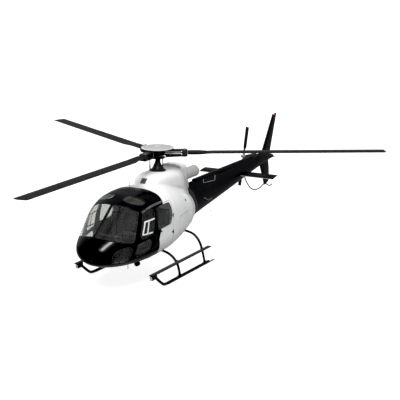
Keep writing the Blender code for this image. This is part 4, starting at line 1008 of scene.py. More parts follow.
class HELI_OT_cabin(bpy.types.Operator):
    """Padded seats, bench, console, controls and trim inside the cabin"""
    bl_idname = "helicopter.cabin"
    bl_label = "Cabin"

    def execute(self, context):
        for side, word in SIDES:
            pan = block("pan", (0.21, -2.005, 0.955), (0.61, -1.5, 1.0), 0.015, side)
            leg = block("leg", (0.275, -1.925, 0.772), (0.545, -1.555, 0.96), 0.02, side)
            slope = ((-1.515, 1.02), (-1.48, 1.02), (-1.365, 1.75), (-1.4, 1.75))
            shell = punch("shell", rounded(slope, 0.015, 4), 'SIDE', side, 0.0, 0.225, 0.595)
            dress(joined("seat_frame_" + word, [pan, leg, shell]), "panel_plastic")
            seat = "seat_front_" + word
            padded(cushion("seat_pad_" + word, (0.215, -2.015, 1.0), (0.605, -1.545, 1.088), side),
                seat, (seat,))
            padded(cushion("seat_back_" + word, (0.22, -1.56, 1.06), (0.6, -1.495, 1.76), side,
                0.12), seat)
            padded(cushion("head_rest_" + word, (0.31, -1.47, 1.775), (0.51, -1.4, 1.9), side))
            belts(side, word)
        pan = block("pan", (-0.7, -1.18, 0.96), (0.7, -0.7, 1.0), 0.015)
        base = block("base", (-0.61, -1.11, 0.772), (0.61, -0.72, 0.97), 0.02)
        wall = block("wall", (-0.71, -0.7, 1.0), (0.71, -0.63, 1.8), 0.02)
        dress(joined("bench_frame", [pan, base, wall]), "panel_plastic")
        bench = "rear_bench"
        for number, (x0, x1) in enumerate(((-0.735, -0.25), (-0.245, 0.245), (0.25, 0.735))):
            padded(cushion("bench_pad_%d" % number, (x0, -1.195, 1.0), (x1, -0.79, 1.098)), bench,
                (bench,))
            padded(cushion("bench_back_%d" % number, (x0 + 0.02, -0.79, 1.1),
                (x1 - 0.02, -0.72, 1.79), lean=0.06), bench)
        console()
        controls()
        return {'FINISHED'}


def padded(pad, slot=None, replaces=()):
    dress(pad, "seat_cloth", "airframe", slot, replaces)


def cushion(name, low, high, side=1.0, lean=0.0):
    """Crowned pad with a welt round its edge and two sewn channels."""
    low, high = Vector(low), Vector(high)
    size = high - low
    flat = min(range(3), key=lambda k: size[k])
    across, along = [k for k in range(3) if k != flat]
    bm = bmesh.new()
    bmesh.ops.create_cube(bm, size=1.0)
    bmesh.ops.subdivide_edges(bm, edges=bm.edges[:], cuts=15, use_grid_fill=True)
    for v in bm.verts:
        u, w, t = v.co[across] * 2, v.co[along] * 2, v.co[flat] * 2
        rim = max(abs(u), abs(w))
        crown = 1 - 0.42 * rim ** 5
        for seam in (-0.42, 0.42):
            crown -= 0.13 * math.exp(-((u - seam) / 0.05) ** 2)
        crown -= 0.1 * math.exp(-((w - 0.3) / 0.05) ** 2)
        pull = 1 - 0.035 * (1 - (w * w if abs(u) >= abs(w) else u * u)) - 0.05 * abs(t) ** 3
        place = Vector()
        place[across], place[along] = u / 2 * pull, w / 2 * pull
        place[flat] = (t if t < 0 and not lean else t * crown) / 2
        v.co = low + size / 2 + Vector(place[k] * size[k] for k in range(3))
        v.co.y += lean * (v.co.z - low.z) / size.z
        v.co.x *= side
    bmesh.ops.recalc_face_normals(bm, faces=bm.faces)
    piece = from_bmesh(name, bm)
    puff(piece)
    smooth = piece.modifiers.new("smooth", 'SUBSURF')
    smooth.levels = smooth.render_levels = 1
    return settle(piece)


def puff(piece, most=0.01):
    """Let a short cloth run press the cushion's filling against its cover."""
    start = [v.co.copy() for v in piece.data.vertices]
    heart = sum(start, Vector()) / len(start)
    cloth = piece.modifiers.new("cloth", 'CLOTH')
    cloth.settings.use_pressure = True
    cloth.settings.uniform_pressure_force = 3.0
    cloth.settings.effector_weights.gravity = 0.0
    cloth.settings.tension_stiffness = 40.0
    cloth.settings.quality = 4
    scene = bpy.context.scene
    for moment in range(1, 13):
        scene.frame_set(moment)
    settle(piece)
    scene.frame_set(1)
    for v, rest in zip(piece.data.vertices, start):
        step = v.co - rest
        step -= step.normalized() * max(step.length - most, 0.0) if step.length else Vector()
        v.co = rest + step * 0.8 - (rest - heart) * 0.012


def belts(side, word):
    """Harness straps down the seat back and across the pad, with a round buckle."""
    ways = []
    for x in (0.335, 0.485):
        points = ((x, -1.46, 1.8), (x, -1.52, 1.7), (x, -1.585, 1.45), (x, -1.61, 1.22),
            (x * 0.6 + 0.164, -1.66, 1.14))
        ways.append((points, (0, -1, 0.25)))
    for x in (0.225, 0.595):
        points = ((x, -1.58, 1.06), (x * 0.7 + 0.123, -1.63, 1.105), (0.41, -1.66, 1.125))
        ways.append((points, (0, -0.4, 1)))
    straps = []
    for points, out in ways:
        line = flowing([(side * x, y, z) for x, y, z in points], 6, False)
        out = Vector(out).normalized()
        straps.append(band("strap", [(Vector(p), out) for p in line], 0.045, 0.003))
    dress(joined("harness_" + word, straps), "rubber")
    dress(turned("buckle_" + word, ((0.0, 0.0), (0.03, 0.0), (0.032, 0.006), (0.028, 0.012),
        (0.012, 0.014), (0.0, 0.014)), (side * 0.41, -1.665, 1.128), (0, -0.5, 0.86), 24), "bolt")


def console():
    """Instrument panel with round dials, screens, switches and a glare shield."""
    post = block("post", (-0.12, -2.46, 0.772), (0.12, -1.98, 1.0), 0.02)
    slope = punch("slope", rounded(((-2.46, 0.98), (-1.99, 0.98), (-1.99, 1.0), (-2.3, 1.02),
        (-2.5, 1.12)), 0.01, 3), 'SIDE', 1.0, 0.0, -0.115, 0.115)
    stem = block("stem", (-0.112, -2.6, 0.772), (0.112, -2.41, 1.2), 0.02)
    face = block("face", (-0.325, -2.645, 1.105), (0.325, -2.505, 1.44), 0.03)
    hood = punch("hood", rounded(((-2.655, 1.435), (-2.455, 1.435), (-2.455, 1.452),
        (-2.655, 1.459)), 0.006, 3), 'SIDE', 1.0, 0.0, -0.33, 0.33)
    stand_in(joined("console_body", [post, slope, stem, face, hood]), "panel_plastic",
        "instrument_console")
    rims, faces, marks = [], [], []
    size = 0.04
    spots = [(x, z) for x in (-0.26, -0.165, 0.165, 0.26) for z in (1.375, 1.275, 1.175)]
    for x, z in spots:
        rims.append(turned("rim", ((size * 0.86, 0.0), (size, 0.0), (size, 0.01),
            (size * 0.86, 0.008)), (x, -2.505, z), (0, 1, 0), 32))
        faces.append(disc("dial", size * 0.87, 0.0, 0.004, (x, -2.505, z), (0, 1, 0), 32))
        for k in range(12):
            angle = math.radians(30 * k)
            reach = size * 0.72
            mark = block("mark", (-0.0012, -2.501, -0.0035), (0.0012, -2.4995, 0.0035), 0.0)
            mark.data.transform(Matrix.Translation((x + reach * math.sin(angle), 0,
                z + reach * math.cos(angle))) @ Matrix.Rotation(angle, 4, 'Y'))
            marks.append(mark)
        hand = block("hand", (-0.0015, -2.5005, -0.004), (0.0015, -2.4985, size * 0.6), 0.0)
        hand.data.transform(Matrix.Translation((x, 0, z)) @ Matrix.Rotation(x * 9 + z * 7, 4, 'Y'))
        marks.append(hand)
    for z in (1.335, 1.2):
        rims.append(block("screen_rim", (-0.105, -2.51, z - 0.058), (0.105, -2.498, z + 0.058),
            0.004))
        faces.append(block("screen", (-0.092, -2.5, z - 0.046), (0.092, -2.4965, z + 0.046),
            0.002))
    for row in range(3):
        for k in range(5):
            marks.append(block("key", (-0.085 + 0.036 * k, -2.29 + 0.075 * row, 1.012),
                (-0.062 + 0.036 * k, -2.25 + 0.075 * row, 1.022), 0.002))
    dress(joined("dial_rims", rims), "bolt")
    dress(joined("dial_faces", faces), "dial_face")
    dress(joined("dial_marks", marks), "dial_mark")


def controls():
    """Cyclic sticks, collective levers and pedals."""
    for side, word in SIDES:
        stick = rod("stick", flowing([(side * 0.41, -2.14, 0.775), (side * 0.41, -2.17, 0.95),
            (side * 0.41, -2.12, 1.1), (side * 0.41, -2.07, 1.2)], 6, False), 0.012, 12)
        grip = rod("grip", flowing([(side * 0.41, -2.075, 1.19), (side * 0.41, -2.055, 1.26),
            (side * 0.41, -2.07, 1.32)], 5, False), 0.021, 14)
        lever = rod("lever", flowing([(side * 0.17, -1.6, 0.86), (side * 0.17, -1.85, 1.0),
            (side * 0.17, -2.0, 1.07)], 5, False), 0.014, 12)
        pedals = []
        for x in (0.31, 0.51):
            pedals.append(block("pedal", (x - 0.045, -2.52, 0.9), (x + 0.045, -2.505, 0.99), 0.006,
                side))
            pedals.append(rod("pedal_arm", [(side * x, -2.53, 0.775), (side * x, -2.52, 0.93)],
                0.009, 10))
        dress(joined("controls_" + word, [stick, grip, lever] + pedals), "gear_paint")


class HELI_OT_cowling(bpy.types.Operator):
    """Smooth engine cowling with its grille, mast fairing and exhaust"""
    bl_idname = "helicopter.cowling"
    bl_label = "Cowling and exhaust"

    def execute(self, context):
        rows, deck = eased(COWL), eased(REAR_DECK)
        tree = skin_tree("cowl", rows)
        hood = solid_loft("cowl_skin", rows)
        cut(hood, solid_loft("rear_deck", deck), 'UNION')
        cut(hood, block("hollow_fore", (-0.24, -0.52, 2.2), (0.24, 0.7, 2.54), 0.0))
        cut(hood, solid_loft("hull_solid", eased(HULL), -0.0003))
        foot, top = Vector(GRILLE_LINE[0]), Vector(GRILLE_LINE[1])
        line = top - foot
        out = Vector((-line.y, line.x)).normalized()
        ends = ((0, 0.06), (1, 0.06), (1, -0.03), (0, -0.03))
        corners = [tuple(foot + line * a + out * b) for a, b in ends]
        cut(hood, punch("intake", corners, 'SIDE', 1.0, 0.0, -GRILLE_HALF, GRILLE_HALF))
        cut(hood, disc("mast_hole", 0.046, 2.5, 2.8))
        cut(hood, disc("pipe_hole", 0.158, 0.9, 2.4, (0, 0, 2.27), (0, 1, 0)))
        stand_in(hood, "cowl_paint", "engine_cowling", weigh=True)
        dress(crease("cowl_fillet", tree, surfaces["hull"]), "cowl_paint", angle=60)
        bare("engine_block", "mast_steel")
        front_grille(foot, line, out)
        deck_intake(skin_tree("deck", deck))

        pipe = turned("exhaust", ((0.12, 1.0), (0.15, 1.0), (0.166, 1.15), (0.168, 1.3),
            (0.166, 1.7), (0.164, 2.04), (0.1665, 2.055), (0.1665, 2.072), (0.163, 2.08),
            (0.158, 2.078), (0.155, 2.06), (0.155, 1.3), (0.12, 1.1)), EXHAUST, (0, 1, 0))
        # The black plug deep in the pipe is painted shade: it stands for the dark hollow of the
        # pipe.
        back = turned("exhaust_throat", ((0.0, 1.2), (0.154, 1.2), (0.154, 1.34), (0.05, 1.4),
            (0.0, 1.42)), EXHAUST, (0, 1, 0))
        stand_in(pipe, "exhaust_metal", "exhaust_pipe", angle=40)
        dress(back, "rubber")
        collar = turned("exhaust_collar", ((0.164, 1.46), (0.172, 1.46), (0.174, 1.466),
            (0.174, 1.482), (0.172, 1.488), (0.164, 1.488)), EXHAUST, (0, 1, 0))
        dress(collar, "exhaust_metal")

        bell = turned("bell", ((0.045, 2.6), (0.213, 2.6), (0.216, 2.668), (0.214, 2.684),
            (0.206, 2.69), (0.19, 2.7), (0.165, 2.72), (0.14, 2.755), (0.122, 2.79),
            (0.104, 2.828), (0.088, 2.868), (0.074, 2.905), (0.064, 2.935), (0.058, 2.96),
            (0.055, 2.975), (0.045, 2.975)))
        stand_in(bell, "fairing_black", "mast_fairing", angle=50)
        ring = turned("bell_ring", ((0.205, 2.66), (0.226, 2.66), (0.229, 2.668), (0.226, 2.679),
            (0.205, 2.682)))
        dress(ring, "gear_paint")
        rods = []
        for x, y in ((-0.178, -0.107), (-0.04, 0.2), (0.05, 0.195)):
            rods.append(rod("rod", [(x, y, 2.67), (x, y, 2.82)], 0.019, 16))
            rods.append(rod("rod_top", [(x, y, 2.82), (x, y, 2.985)], 0.0135, 16))
            rods.append(turned("rod_eye", ((0.0, -0.014), (0.017, -0.012), (0.021, 0.0),
                (0.017, 0.012), (0.0, 0.014)), (x, y, 2.985), (x, y, 0), 20))
        dress(joined("control_rods", rods), "rod_grey")
        return {'FINISHED'}


def front_grille(foot, line, out):
    """Slanted slats in a frame over a dark recess in the cowling's front; the black plate behind
    the slats is painted shade for the depth of the intake.
    """
    place = axes((1, 0, 0), (0, line.normalized().x, line.normalized().y), (0, out.x, out.y),
        (0, foot.x, foot.y))
    length, half = line.length, GRILLE_HALF
    # The black plate behind the slats is painted shade for the dark depth of the intake.
    back = block("grille_recess", (-half, 0.0, -0.045), (half, length, -0.03), 0.0)
    back.data.transform(place)
    stand_in(back, "rubber", "intake_grille")
    bars = []
    for x0, y0, x1, y1 in ((-half, 0.0, half, 0.01), (-half, length - 0.01, half, length),
            (-half, 0.0, -half + 0.01, length), (half - 0.01, 0.0, half, length)):
        bars.append(block("edge", (x0, y0, -0.034), (x1, y1, -0.006), 0.002))
    for k in range(-1, 12):
        bar = block("slat", (-half * 1.45, -0.0035, -0.032), (half * 1.45, 0.0035, -0.012), 0.001)
        bar.data.transform(Matrix.Translation((0.0, 0.022 * k, 0.0))
            @ Matrix.Rotation(0.62, 4, 'Z'))
        cut(bar, block("keep", (-half + 0.004, 0.004, -0.06), (half - 0.004, length - 0.004, 0.02),
            0.0), 'INTERSECT')
        bars.append(bar)
    grille = joined("grille_slats", bars)
    grille.data.transform(place)
    dress(grille, "grille_grey", "airframe", "intake_grille")


def deck_intake(tree):
    """Wire screen laid on the sloped front of the rear deck."""
    verts, faces, wide, deep = [], [], 41, 9
    for low in (0.0012, -0.004):
        for r in range(deep):
            y = 0.608 + 0.125 * r / (deep - 1)
            for k in range(wide):
                reach = 0.275 + 0.03 * min(r / 3.0, 1.0)
                x = -reach + 2 * reach * k / (wide - 1)
                verts.append(laid(tree, [(x, y, 3.5)], (0, 0, -1), low)[0][0])
    for r in range(deep - 1):
        for k in range(wide - 1):
            a = r * wide + k
            face = (a, a + 1, a + wide + 1, a + wide)
            faces += [face, tuple(i + wide * deep for i in face[::-1])]
    rim = (list(range(wide)) + [r * wide + wide - 1 for r in range(1, deep)]
        + [(deep - 1) * wide + k for k in range(wide - 2, -1, -1)]
        + [r * wide for r in range(deep - 2, 0, -1)])
    for a, b in zip(rim, rim[1:] + rim[:1]):
        faces.append((b, a, a + wide * deep, b + wide * deep))
    dress(outward(new_piece("deck_screen", verts, faces)), "wire_screen")
    line = [p for p, _ in laid(tree, [(x, y, 3.5) for x, y in ((-0.276, 0.61), (-0.3, 0.66),
        (-0.305, 0.731), (-0.15, 0.734), (0.0, 0.734), (0.15, 0.734), (0.305, 0.731), (0.3, 0.66),
        (0.276, 0.61))], (0, 0, -1), 0.001)]
    dress(bead("deck_screen_rim", flowing(line, 5, False), 0.005, 8, False), "grey_trim")


def top_of(tree, x, y):
    """Height of a surface seen from above, or far below it all beside it."""
    place = tree.ray_cast(Vector((x, y, 5.0)), Vector((0, 0, -1)))[0]
    return place.z if place else -9.0


def crease(name, upper, lower):
    """Soft fillet that fills the crease where the cowling stands on the body."""
    spots = [(Vector((0, y)), Vector((-1, 0))) for y in np.linspace(1.32, -0.4, 30)]
    spots += [(Vector((0, -0.45)), Vector((-math.cos(a), -math.sin(a))))
        for a in np.linspace(0.08, math.pi - 0.08, 30)]
    spots += [(Vector((0, y)), Vector((1, 0))) for y in np.linspace(-0.4, 1.32, 30)]
    verts = []
    for origin, way in spots:
        low, high = 0.05, 0.7
        for _ in range(30):
            middle = (low + high) / 2
            spot = origin + way * middle
            if top_of(upper, *spot) > top_of(lower, *spot):
                low = middle
            else:
                high = middle
        foot = origin + way * low
        z = top_of(lower, *foot)
        front = max(0.0, -way.y)
        rise, spread = 0.115 - 0.055 * front, 0.15 - 0.085 * front
        start = Vector((*(foot + way * 0.5), z + rise))
        wall = upper.ray_cast(start, Vector((-way.x, -way.y, 0)))[0]
        out = foot + way * spread
        ground = Vector((*out, top_of(lower, *out)))
        knee = Vector((*foot, z)) + Vector((way.x, way.y, 1.0)) * 0.004
        inside = Vector((-way.x, -way.y, 0.0))
        line = []
        for i in range(11):
            f = i / 10
            line.append(wall * (1 - f) ** 2 + knee * 2 * f * (1 - f) + ground * f * f)
        line[0] = wall + inside * 0.003
        line[-1] = ground - Vector((0, 0, 0.003))
        line += [ground - Vector((0, 0, 0.012)), Vector((*foot, z - 0.02)) + inside * 0.02,
            wall + inside * 0.012]
        verts += line
    faces = tube_faces(len(spots), len(verts) // len(spots))
    return outward(new_piece(name, verts, faces))


class HELI_OT_tail_boom(bpy.types.Operator):
    """Smooth tail boom, shaft cover, gearbox, fins and stabiliser"""
    bl_idname = "helicopter.tail_boom"
    bl_label = "Tail boom and fins"

    def execute(self, context):
        rows = eased(BOOM)
        skin_tree("boom", rows)
        boom = solid_loft("boom_skin", rows)
        stand_in(boom, "boom_paint", "tail_boom", weigh=True)
        collar = solid_loft("joint_collar", eased(COLLAR, 4))
        cut(collar, solid_loft("cowl_solid", eased(COWL), -0.001))
        dress(collar, "collar_black")
        cover = punch("shaft_cover", rounded(((-0.074, 1.78), (0.074, 1.78), (0.07, 1.985),
            (0.045, 2.026), (-0.045, 2.026), (-0.07, 1.985)), 0.02, 4), 'FRONT', 1.0, 0.0, 2.05,
            5.829)
        stand_in(cover, "boom_paint", "tail_shaft_cover")
        case = block("gear_case", (-0.13, 5.84, 1.84), (0.055, 6.18, 2.055), 0.045, 1.0, 5)
        neck = turned("gear_neck", ((0.0, -0.275), (0.05, -0.275), (0.06, -0.262), (0.066, -0.235),
            (0.075, -0.2), (0.098, -0.13), (0.098, -0.1), (0.0, -0.1)),
            (0, TAIL_HUB[1], TAIL_HUB[2]), (1, 0, 0), 40)
        stand_in(joined("gear_casing", [case, neck]), "fairing_black", "tail_gearbox")

        fin = upright("fin_skin", (((6.4, 1.8), (7.16, 1.8), 0.085),
            ((6.62, 2.09), (7.25, 2.05), 0.075), ((7.335, 3.1), (7.66, 3.1), 0.04),
            ((7.378, 3.132), (7.66, 3.128), 0.034), ((7.42, 3.14), (7.655, 3.138), 0.012)))
        stand_in(fin, "boom_paint", "upper_fin")
        keel = upright("keel_skin", (((6.36, 1.75), (7.06, 1.78), 0.06),
            ((6.53, 1.42), (7.145, 1.42), 0.052), ((6.64, 1.22), (7.155, 1.22), 0.046),
            ((6.735, 1.0), (7.158, 1.05), 0.04), ((6.77, 0.915), (7.15, 0.99), 0.034),
            ((6.82, 0.895), (7.05, 0.935), 0.012)))
        stand_in(keel, "boom_paint", "ventral_fin")
        span = 1.2625
        tilt = math.radians(8.5)
        along = (0, math.cos(tilt), math.sin(tilt))
        thick_way = (0, -math.sin(tilt), math.cos(tilt))
        plane = wing("stabiliser_skin", [((x, 4.7 + lead, 1.62), along, thick_way, 0.398 - lead,
            thick) for x, lead, thick in ((-span, 0.02, 0.014), (-span + 0.02, 0, 0.05),
            (0, 0, 0.054), (span - 0.02, 0, 0.05), (span, 0.02, 0.014))])
        stand_in(plane, "boom_paint", "stabiliser")
        guard = rod("guard_tube", flowing([(0, 5.34, 1.52), (0, 5.387, 1.403), (0, 5.453, 1.303),
            (0, 5.551, 1.197), (0, 5.683, 1.077), (0, 5.815, 0.983), (0, 5.98, 0.914),
            (0, 6.113, 0.878), (0, 6.347, 0.856), (0, 6.514, 0.871), (0, 6.614, 0.896),
            (0, 6.8, 0.935), (0, 6.98, 0.89), (0, 7.1, 0.83), (0, 7.22, 0.795), (0, 7.32, 0.788),
            (0, 7.375, 0.815)], 5, False), 0.019, 14)
        stand_in(guard, "guard_steel", "tail_guard")
        return {'FINISHED'}


def upright(name, sections):
    """Upright aerofoil; each section is leading point, trailing point and thickness."""
    made = []
    for lead, trail, thick in sections:
        way = Vector((0.0, trail[0] - lead[0], trail[1] - lead[1]))
        made.append(((0.0, *lead), way.normalized(), (1, 0, 0), way.length, thick))
    return wing(name, made)


class HELI_OT_tail_rotor(bpy.types.Operator):
    """Tail rotor hub, blades and pitch links"""
    bl_idname = "helicopter.tail_rotor"
    bl_label = "Tail rotor"

    def execute(self, context):
        hub = Vector(TAIL_HUB)
        angle = math.radians(75.0)
        way = Vector((0, math.cos(angle), math.sin(angle)))
        chordwise = Vector((0, way.z, -way.y))
        core = turned("tail_core", ((0.0, -0.085), (0.03, -0.085), (0.04, -0.078), (0.045, -0.06),
            (0.045, 0.085), (0.0, 0.085)), hub, (1, 0, 0), 32)
        yoke = block("tail_yoke", (-0.018, -0.038, -0.17), (0.018, 0.038, 0.17), 0.006)
        yoke.data.transform(axes((1, 0, 0), chordwise, way, hub))
        plate = turned("pitch_plate", ((0.0, 0.03), (0.062, 0.03), (0.066, 0.036), (0.062, 0.044),
            (0.0, 0.044)), hub, (1, 0, 0), 32)
        stand_in(joined("tail_hub", [core, yoke, plate]), "mast_steel", "tail_rotor_hub",
            "tail_rotor")
        links = []
        for k, sign in enumerate((1.0, -1.0)):
            sections = []
            for radius, chord, thick in ((0.1703, 0.08, 0.03), (0.24, 0.14, 0.03),
                    (0.275, 0.19, 0.024), (0.31, 0.225, 0.02), (0.92, 0.24, 0.016),
                    (0.94, 0.215, 0.01)):
                sections.append((hub + way * sign * radius - chordwise * sign * chord * 0.4,
                    chordwise * sign, Vector((1, 0, 0)), chord, thick))
            blade = wing("tail_blade_skin_%d" % (k + 1), sections)
            stand_in(blade, "blade_skin", "tail_blade_%d" % (k + 1), "tail_rotor")
            start = hub + Vector((0.037, 0, 0)) - chordwise * sign * 0.055
            end = hub + way * sign * 0.19 - chordwise * sign * 0.055 + Vector((0.012, 0, 0))
            links.append(rod("link", [tuple(start), tuple(end)], 0.007, 12))
            for spot in (start, end):
                links.append(turned("eye", ((0.0, -0.01), (0.011, -0.008), (0.013, 0),
                    (0.011, 0.008), (0.0, 0.01)), spot, (1, 0, 0), 16))
        dress(joined("tail_links", links), "bolt", "tail_rotor")
        return {'FINISHED'}


class HELI_OT_rotor_head(bpy.types.Operator):
    """Mast, swashplate, star arms, sleeves with their bolts and the hub cap"""
    bl_idname = "helicopter.rotor_head"
    bl_label = "Rotor head"

    def execute(self, context):
        bare("rotor_mast", "mast_steel")
        low = turned("plate_low", ((0.0385, 3.0), (0.13, 3.0), (0.2, 3.004), (0.212, 3.012),
            (0.2, 3.02), (0.0385, 3.02)))
        high = turned("plate_high", ((0.0385, 3.023), (0.205, 3.025), (0.215, 3.032), (0.2, 3.042),
            (0.13, 3.046), (0.0385, 3.046)))
        stand_in(joined("swash_plates", [low, high]), "fairing_black", "swashplate", "main_rotor")
        heads, strips, bolts, links = [], [], [], []
        core = turned("star_core", ((0.0, 3.083), (0.17, 3.083), (0.2, 3.1), (0.205, 3.16),
            (0.2, 3.215), (0.17, 3.234), (0.0, 3.234)))
        heads.append(core)
        for number, azimuth in enumerate(BLADE_ANGLES, 1):
            for z0, z1 in ((3.0825, 3.127), (3.154, 3.175), (3.196, 3.2105)):
                heads.append(swung(block("arm", (0.15, -0.066, z0), (0.64, 0.06, z1), 0.005),
                    azimuth))
            for z0, z1 in ((3.127, 3.154), (3.175, 3.196)):
                strips.append(swung(block("edge", (0.2, -0.07, z0), (0.645, -0.02, z1), 0.004),
                    azimuth))
            plates = []
            for z0, z1 in ((3.2125, 3.2395), (3.0555, 3.0805)):
                plates.append(sheet_of("plate", rounded(((0.215, -0.072), (0.3, -0.095),
                    (0.7, -0.098), (0.8, -0.088), (0.8, 0.088), (0.7, 0.098), (0.3, 0.095),
                    (0.215, 0.072)), 0.03, 4), z0, z1, Matrix()))
            plates.append(block("sleeve_end", (0.665, -0.098, 3.068), (0.815, 0.098, 3.232),
                0.018))
            plates.append(block("bearing", (0.5, -0.045, 3.13), (0.67, 0.045, 3.165), 0.008))
            sleeve = swung(joined("sleeve_body_%d" % number, plates), azimuth)
            stand_in(sleeve, "sleeve_black", "sleeve_%d" % number, "main_rotor")
            for r, y in ((0.74, -0.06), (0.74, 0.06), (0.34, -0.07), (0.34, 0.07), (0.56, 0.0)):
                size = 0.022 if r > 0.7 else 0.013
                top, base = (3.258, 3.042) if r > 0.7 else (3.248, 3.046)
                bolt = turned("bolt", ((0.0, base), (size, base + 0.002),
                    (size * 1.15, base + 0.01), (size * 0.7, base + 0.012),
                    (size * 0.7, top - 0.012), (size * 1.15, top - 0.01), (size, top - 0.002),
                    (0.0, top)), (r, y, 0), (0, 0, 1), 12)
                bolts.append(swung(bolt, azimuth))
            horn = block("horn", (0.66, -0.2, 3.085), (0.72, -0.09, 3.125), 0.01)
            link = rod("link", [(0.69, -0.175, 3.085), (0.19, -0.1, 3.045)], 0.01, 12)
            links += [swung(horn, azimuth), swung(link, azimuth)]
            links.append(swung(turned("joint", ((0.0, -0.017), (0.014, -0.014), (0.018, 0.0),
                (0.014, 0.014), (0.0, 0.017)), (0.69, -0.175, 3.085), (1, 0, 0), 16), azimuth))
        stand_in(joined("star_head", heads), "fairing_black", "rotor_star", "main_rotor")
        dress(joined("star_strips", strips), "composite_grey", "main_rotor", "rotor_star")
        dress(joined("sleeve_bolts", bolts), "bolt", "main_rotor")
        dress(joined("pitch_links", links), "fairing_black", "main_rotor")
        cap = turned("cap", ((0.0, 3.2355), (0.19, 3.2355), (0.215, 3.262), (0.3, 3.268),
            (0.425, 3.276), (0.44, 3.283), (0.443, 3.292), (0.441, 3.3), (0.432, 3.307),
            (0.422, 3.308), (0.418, 3.306), (0.385, 3.307), (0.38, 3.309), (0.32, 3.3135),
            (0.315, 3.316), (0.25, 3.3215), (0.16, 3.327), (0.11, 3.3285), (0.1, 3.332),
            (0.085, 3.336), (0.05, 3.3385), (0.0, 3.339)), sides=96)
        stand_in(cap, "cap_metal", "hub_cap", "main_rotor", angle=14)
        spots = [((0.2 * math.cos(a), 0.2 * math.sin(a), 3.3245), (0, 0, 1))
            for a in (2 * math.pi * k / 12 for k in range(12))]
        dress(studs("cap_bolts", spots, 0.007, 0.004), "bolt", "main_rotor")
        return {'FINISHED'}


class HELI_OT_main_blades(bpy.types.Operator):
    """Skins of the three blades, narrow at the root, with thin tips"""
    bl_idname = "helicopter.main_blades"
    bl_label = "Main blades"

    def execute(self, context):
        sizes = context.scene.helicopter_sizes
        reach, chord = sizes.blade_reach, sizes.blade_chord
        for number, azimuth in enumerate(BLADE_ANGLES, 1):
            stations = ((0.8203, 0.2, 0.118), (0.9, 0.22, 0.124), (1.02, 0.23, 0.124),
                (1.15, 0.25, 0.118), (1.27, 0.29, 0.098), (1.38, 0.35, 0.066), (1.5, chord, 0.05),
                (2.0, chord, 0.05), (4.0, chord, 0.047), (reach - 0.06, chord, 0.044),
                (reach - 0.02, chord * 0.95, 0.034), (reach, chord * 0.8, 0.01))
            sections = [((r, -c * 0.42, BLADE_Z), (0, 1, 0), (0, 0, 1), c, t)
                for r, c, t in stations]
            blade = swung(wing("blade_skin_%d" % number, sections, 20), azimuth)
            stand_in(blade, "blade_skin", "blade_%d" % number, "main_rotor")
        return {'FINISHED'}


class HELI_OT_landing_gear(bpy.types.Operator):
    """Cross tubes, skids with shoes and springs, clamps and treaded steps"""
    bl_idname = "helicopter.landing_gear"
    bl_label = "Landing gear"

    def execute(self, context):
        lines = {"front": (-0.8, ((0.0, 0.69), (0.5, 0.69), (0.66, 0.668), (0.8, 0.62),
            (0.93, 0.535), (1.02, 0.43), (1.075, 0.32), (1.11, 0.18), (1.133, 0.04))),
            "rear": (0.6, ((0.0, 0.935), (0.38, 0.912), (0.52, 0.895), (0.64, 0.874),
            (0.74, 0.845), (0.82, 0.8), (0.9, 0.725), (0.96, 0.64), (1.01, 0.535), (1.05, 0.41),
            (1.085, 0.27), (1.112, 0.15), (1.133, 0.04)))}
        for word, (y, half) in lines.items():
            points = [(-x, y, z) for x, z in reversed(half[1:])] + [(x, y, z) for x, z in half]
            bar = rod("cross_bar_" + word, flowing(points, 5, False), 0.033, 20)
            stand_in(bar, "gear_paint", "cross_tube_" + word)
        for side, word in SIDES:
            skid(side, word)
        bare("belly_light", "gear_paint")
        lens = turned("belly_lens", ((0.0, 0.512), (0.045, 0.513), (0.054, 0.518), (0.0, 0.52)),
            (0.36, -1.7, 0))
        dress(lens, "lamp_glass")
        return {'FINISHED'}


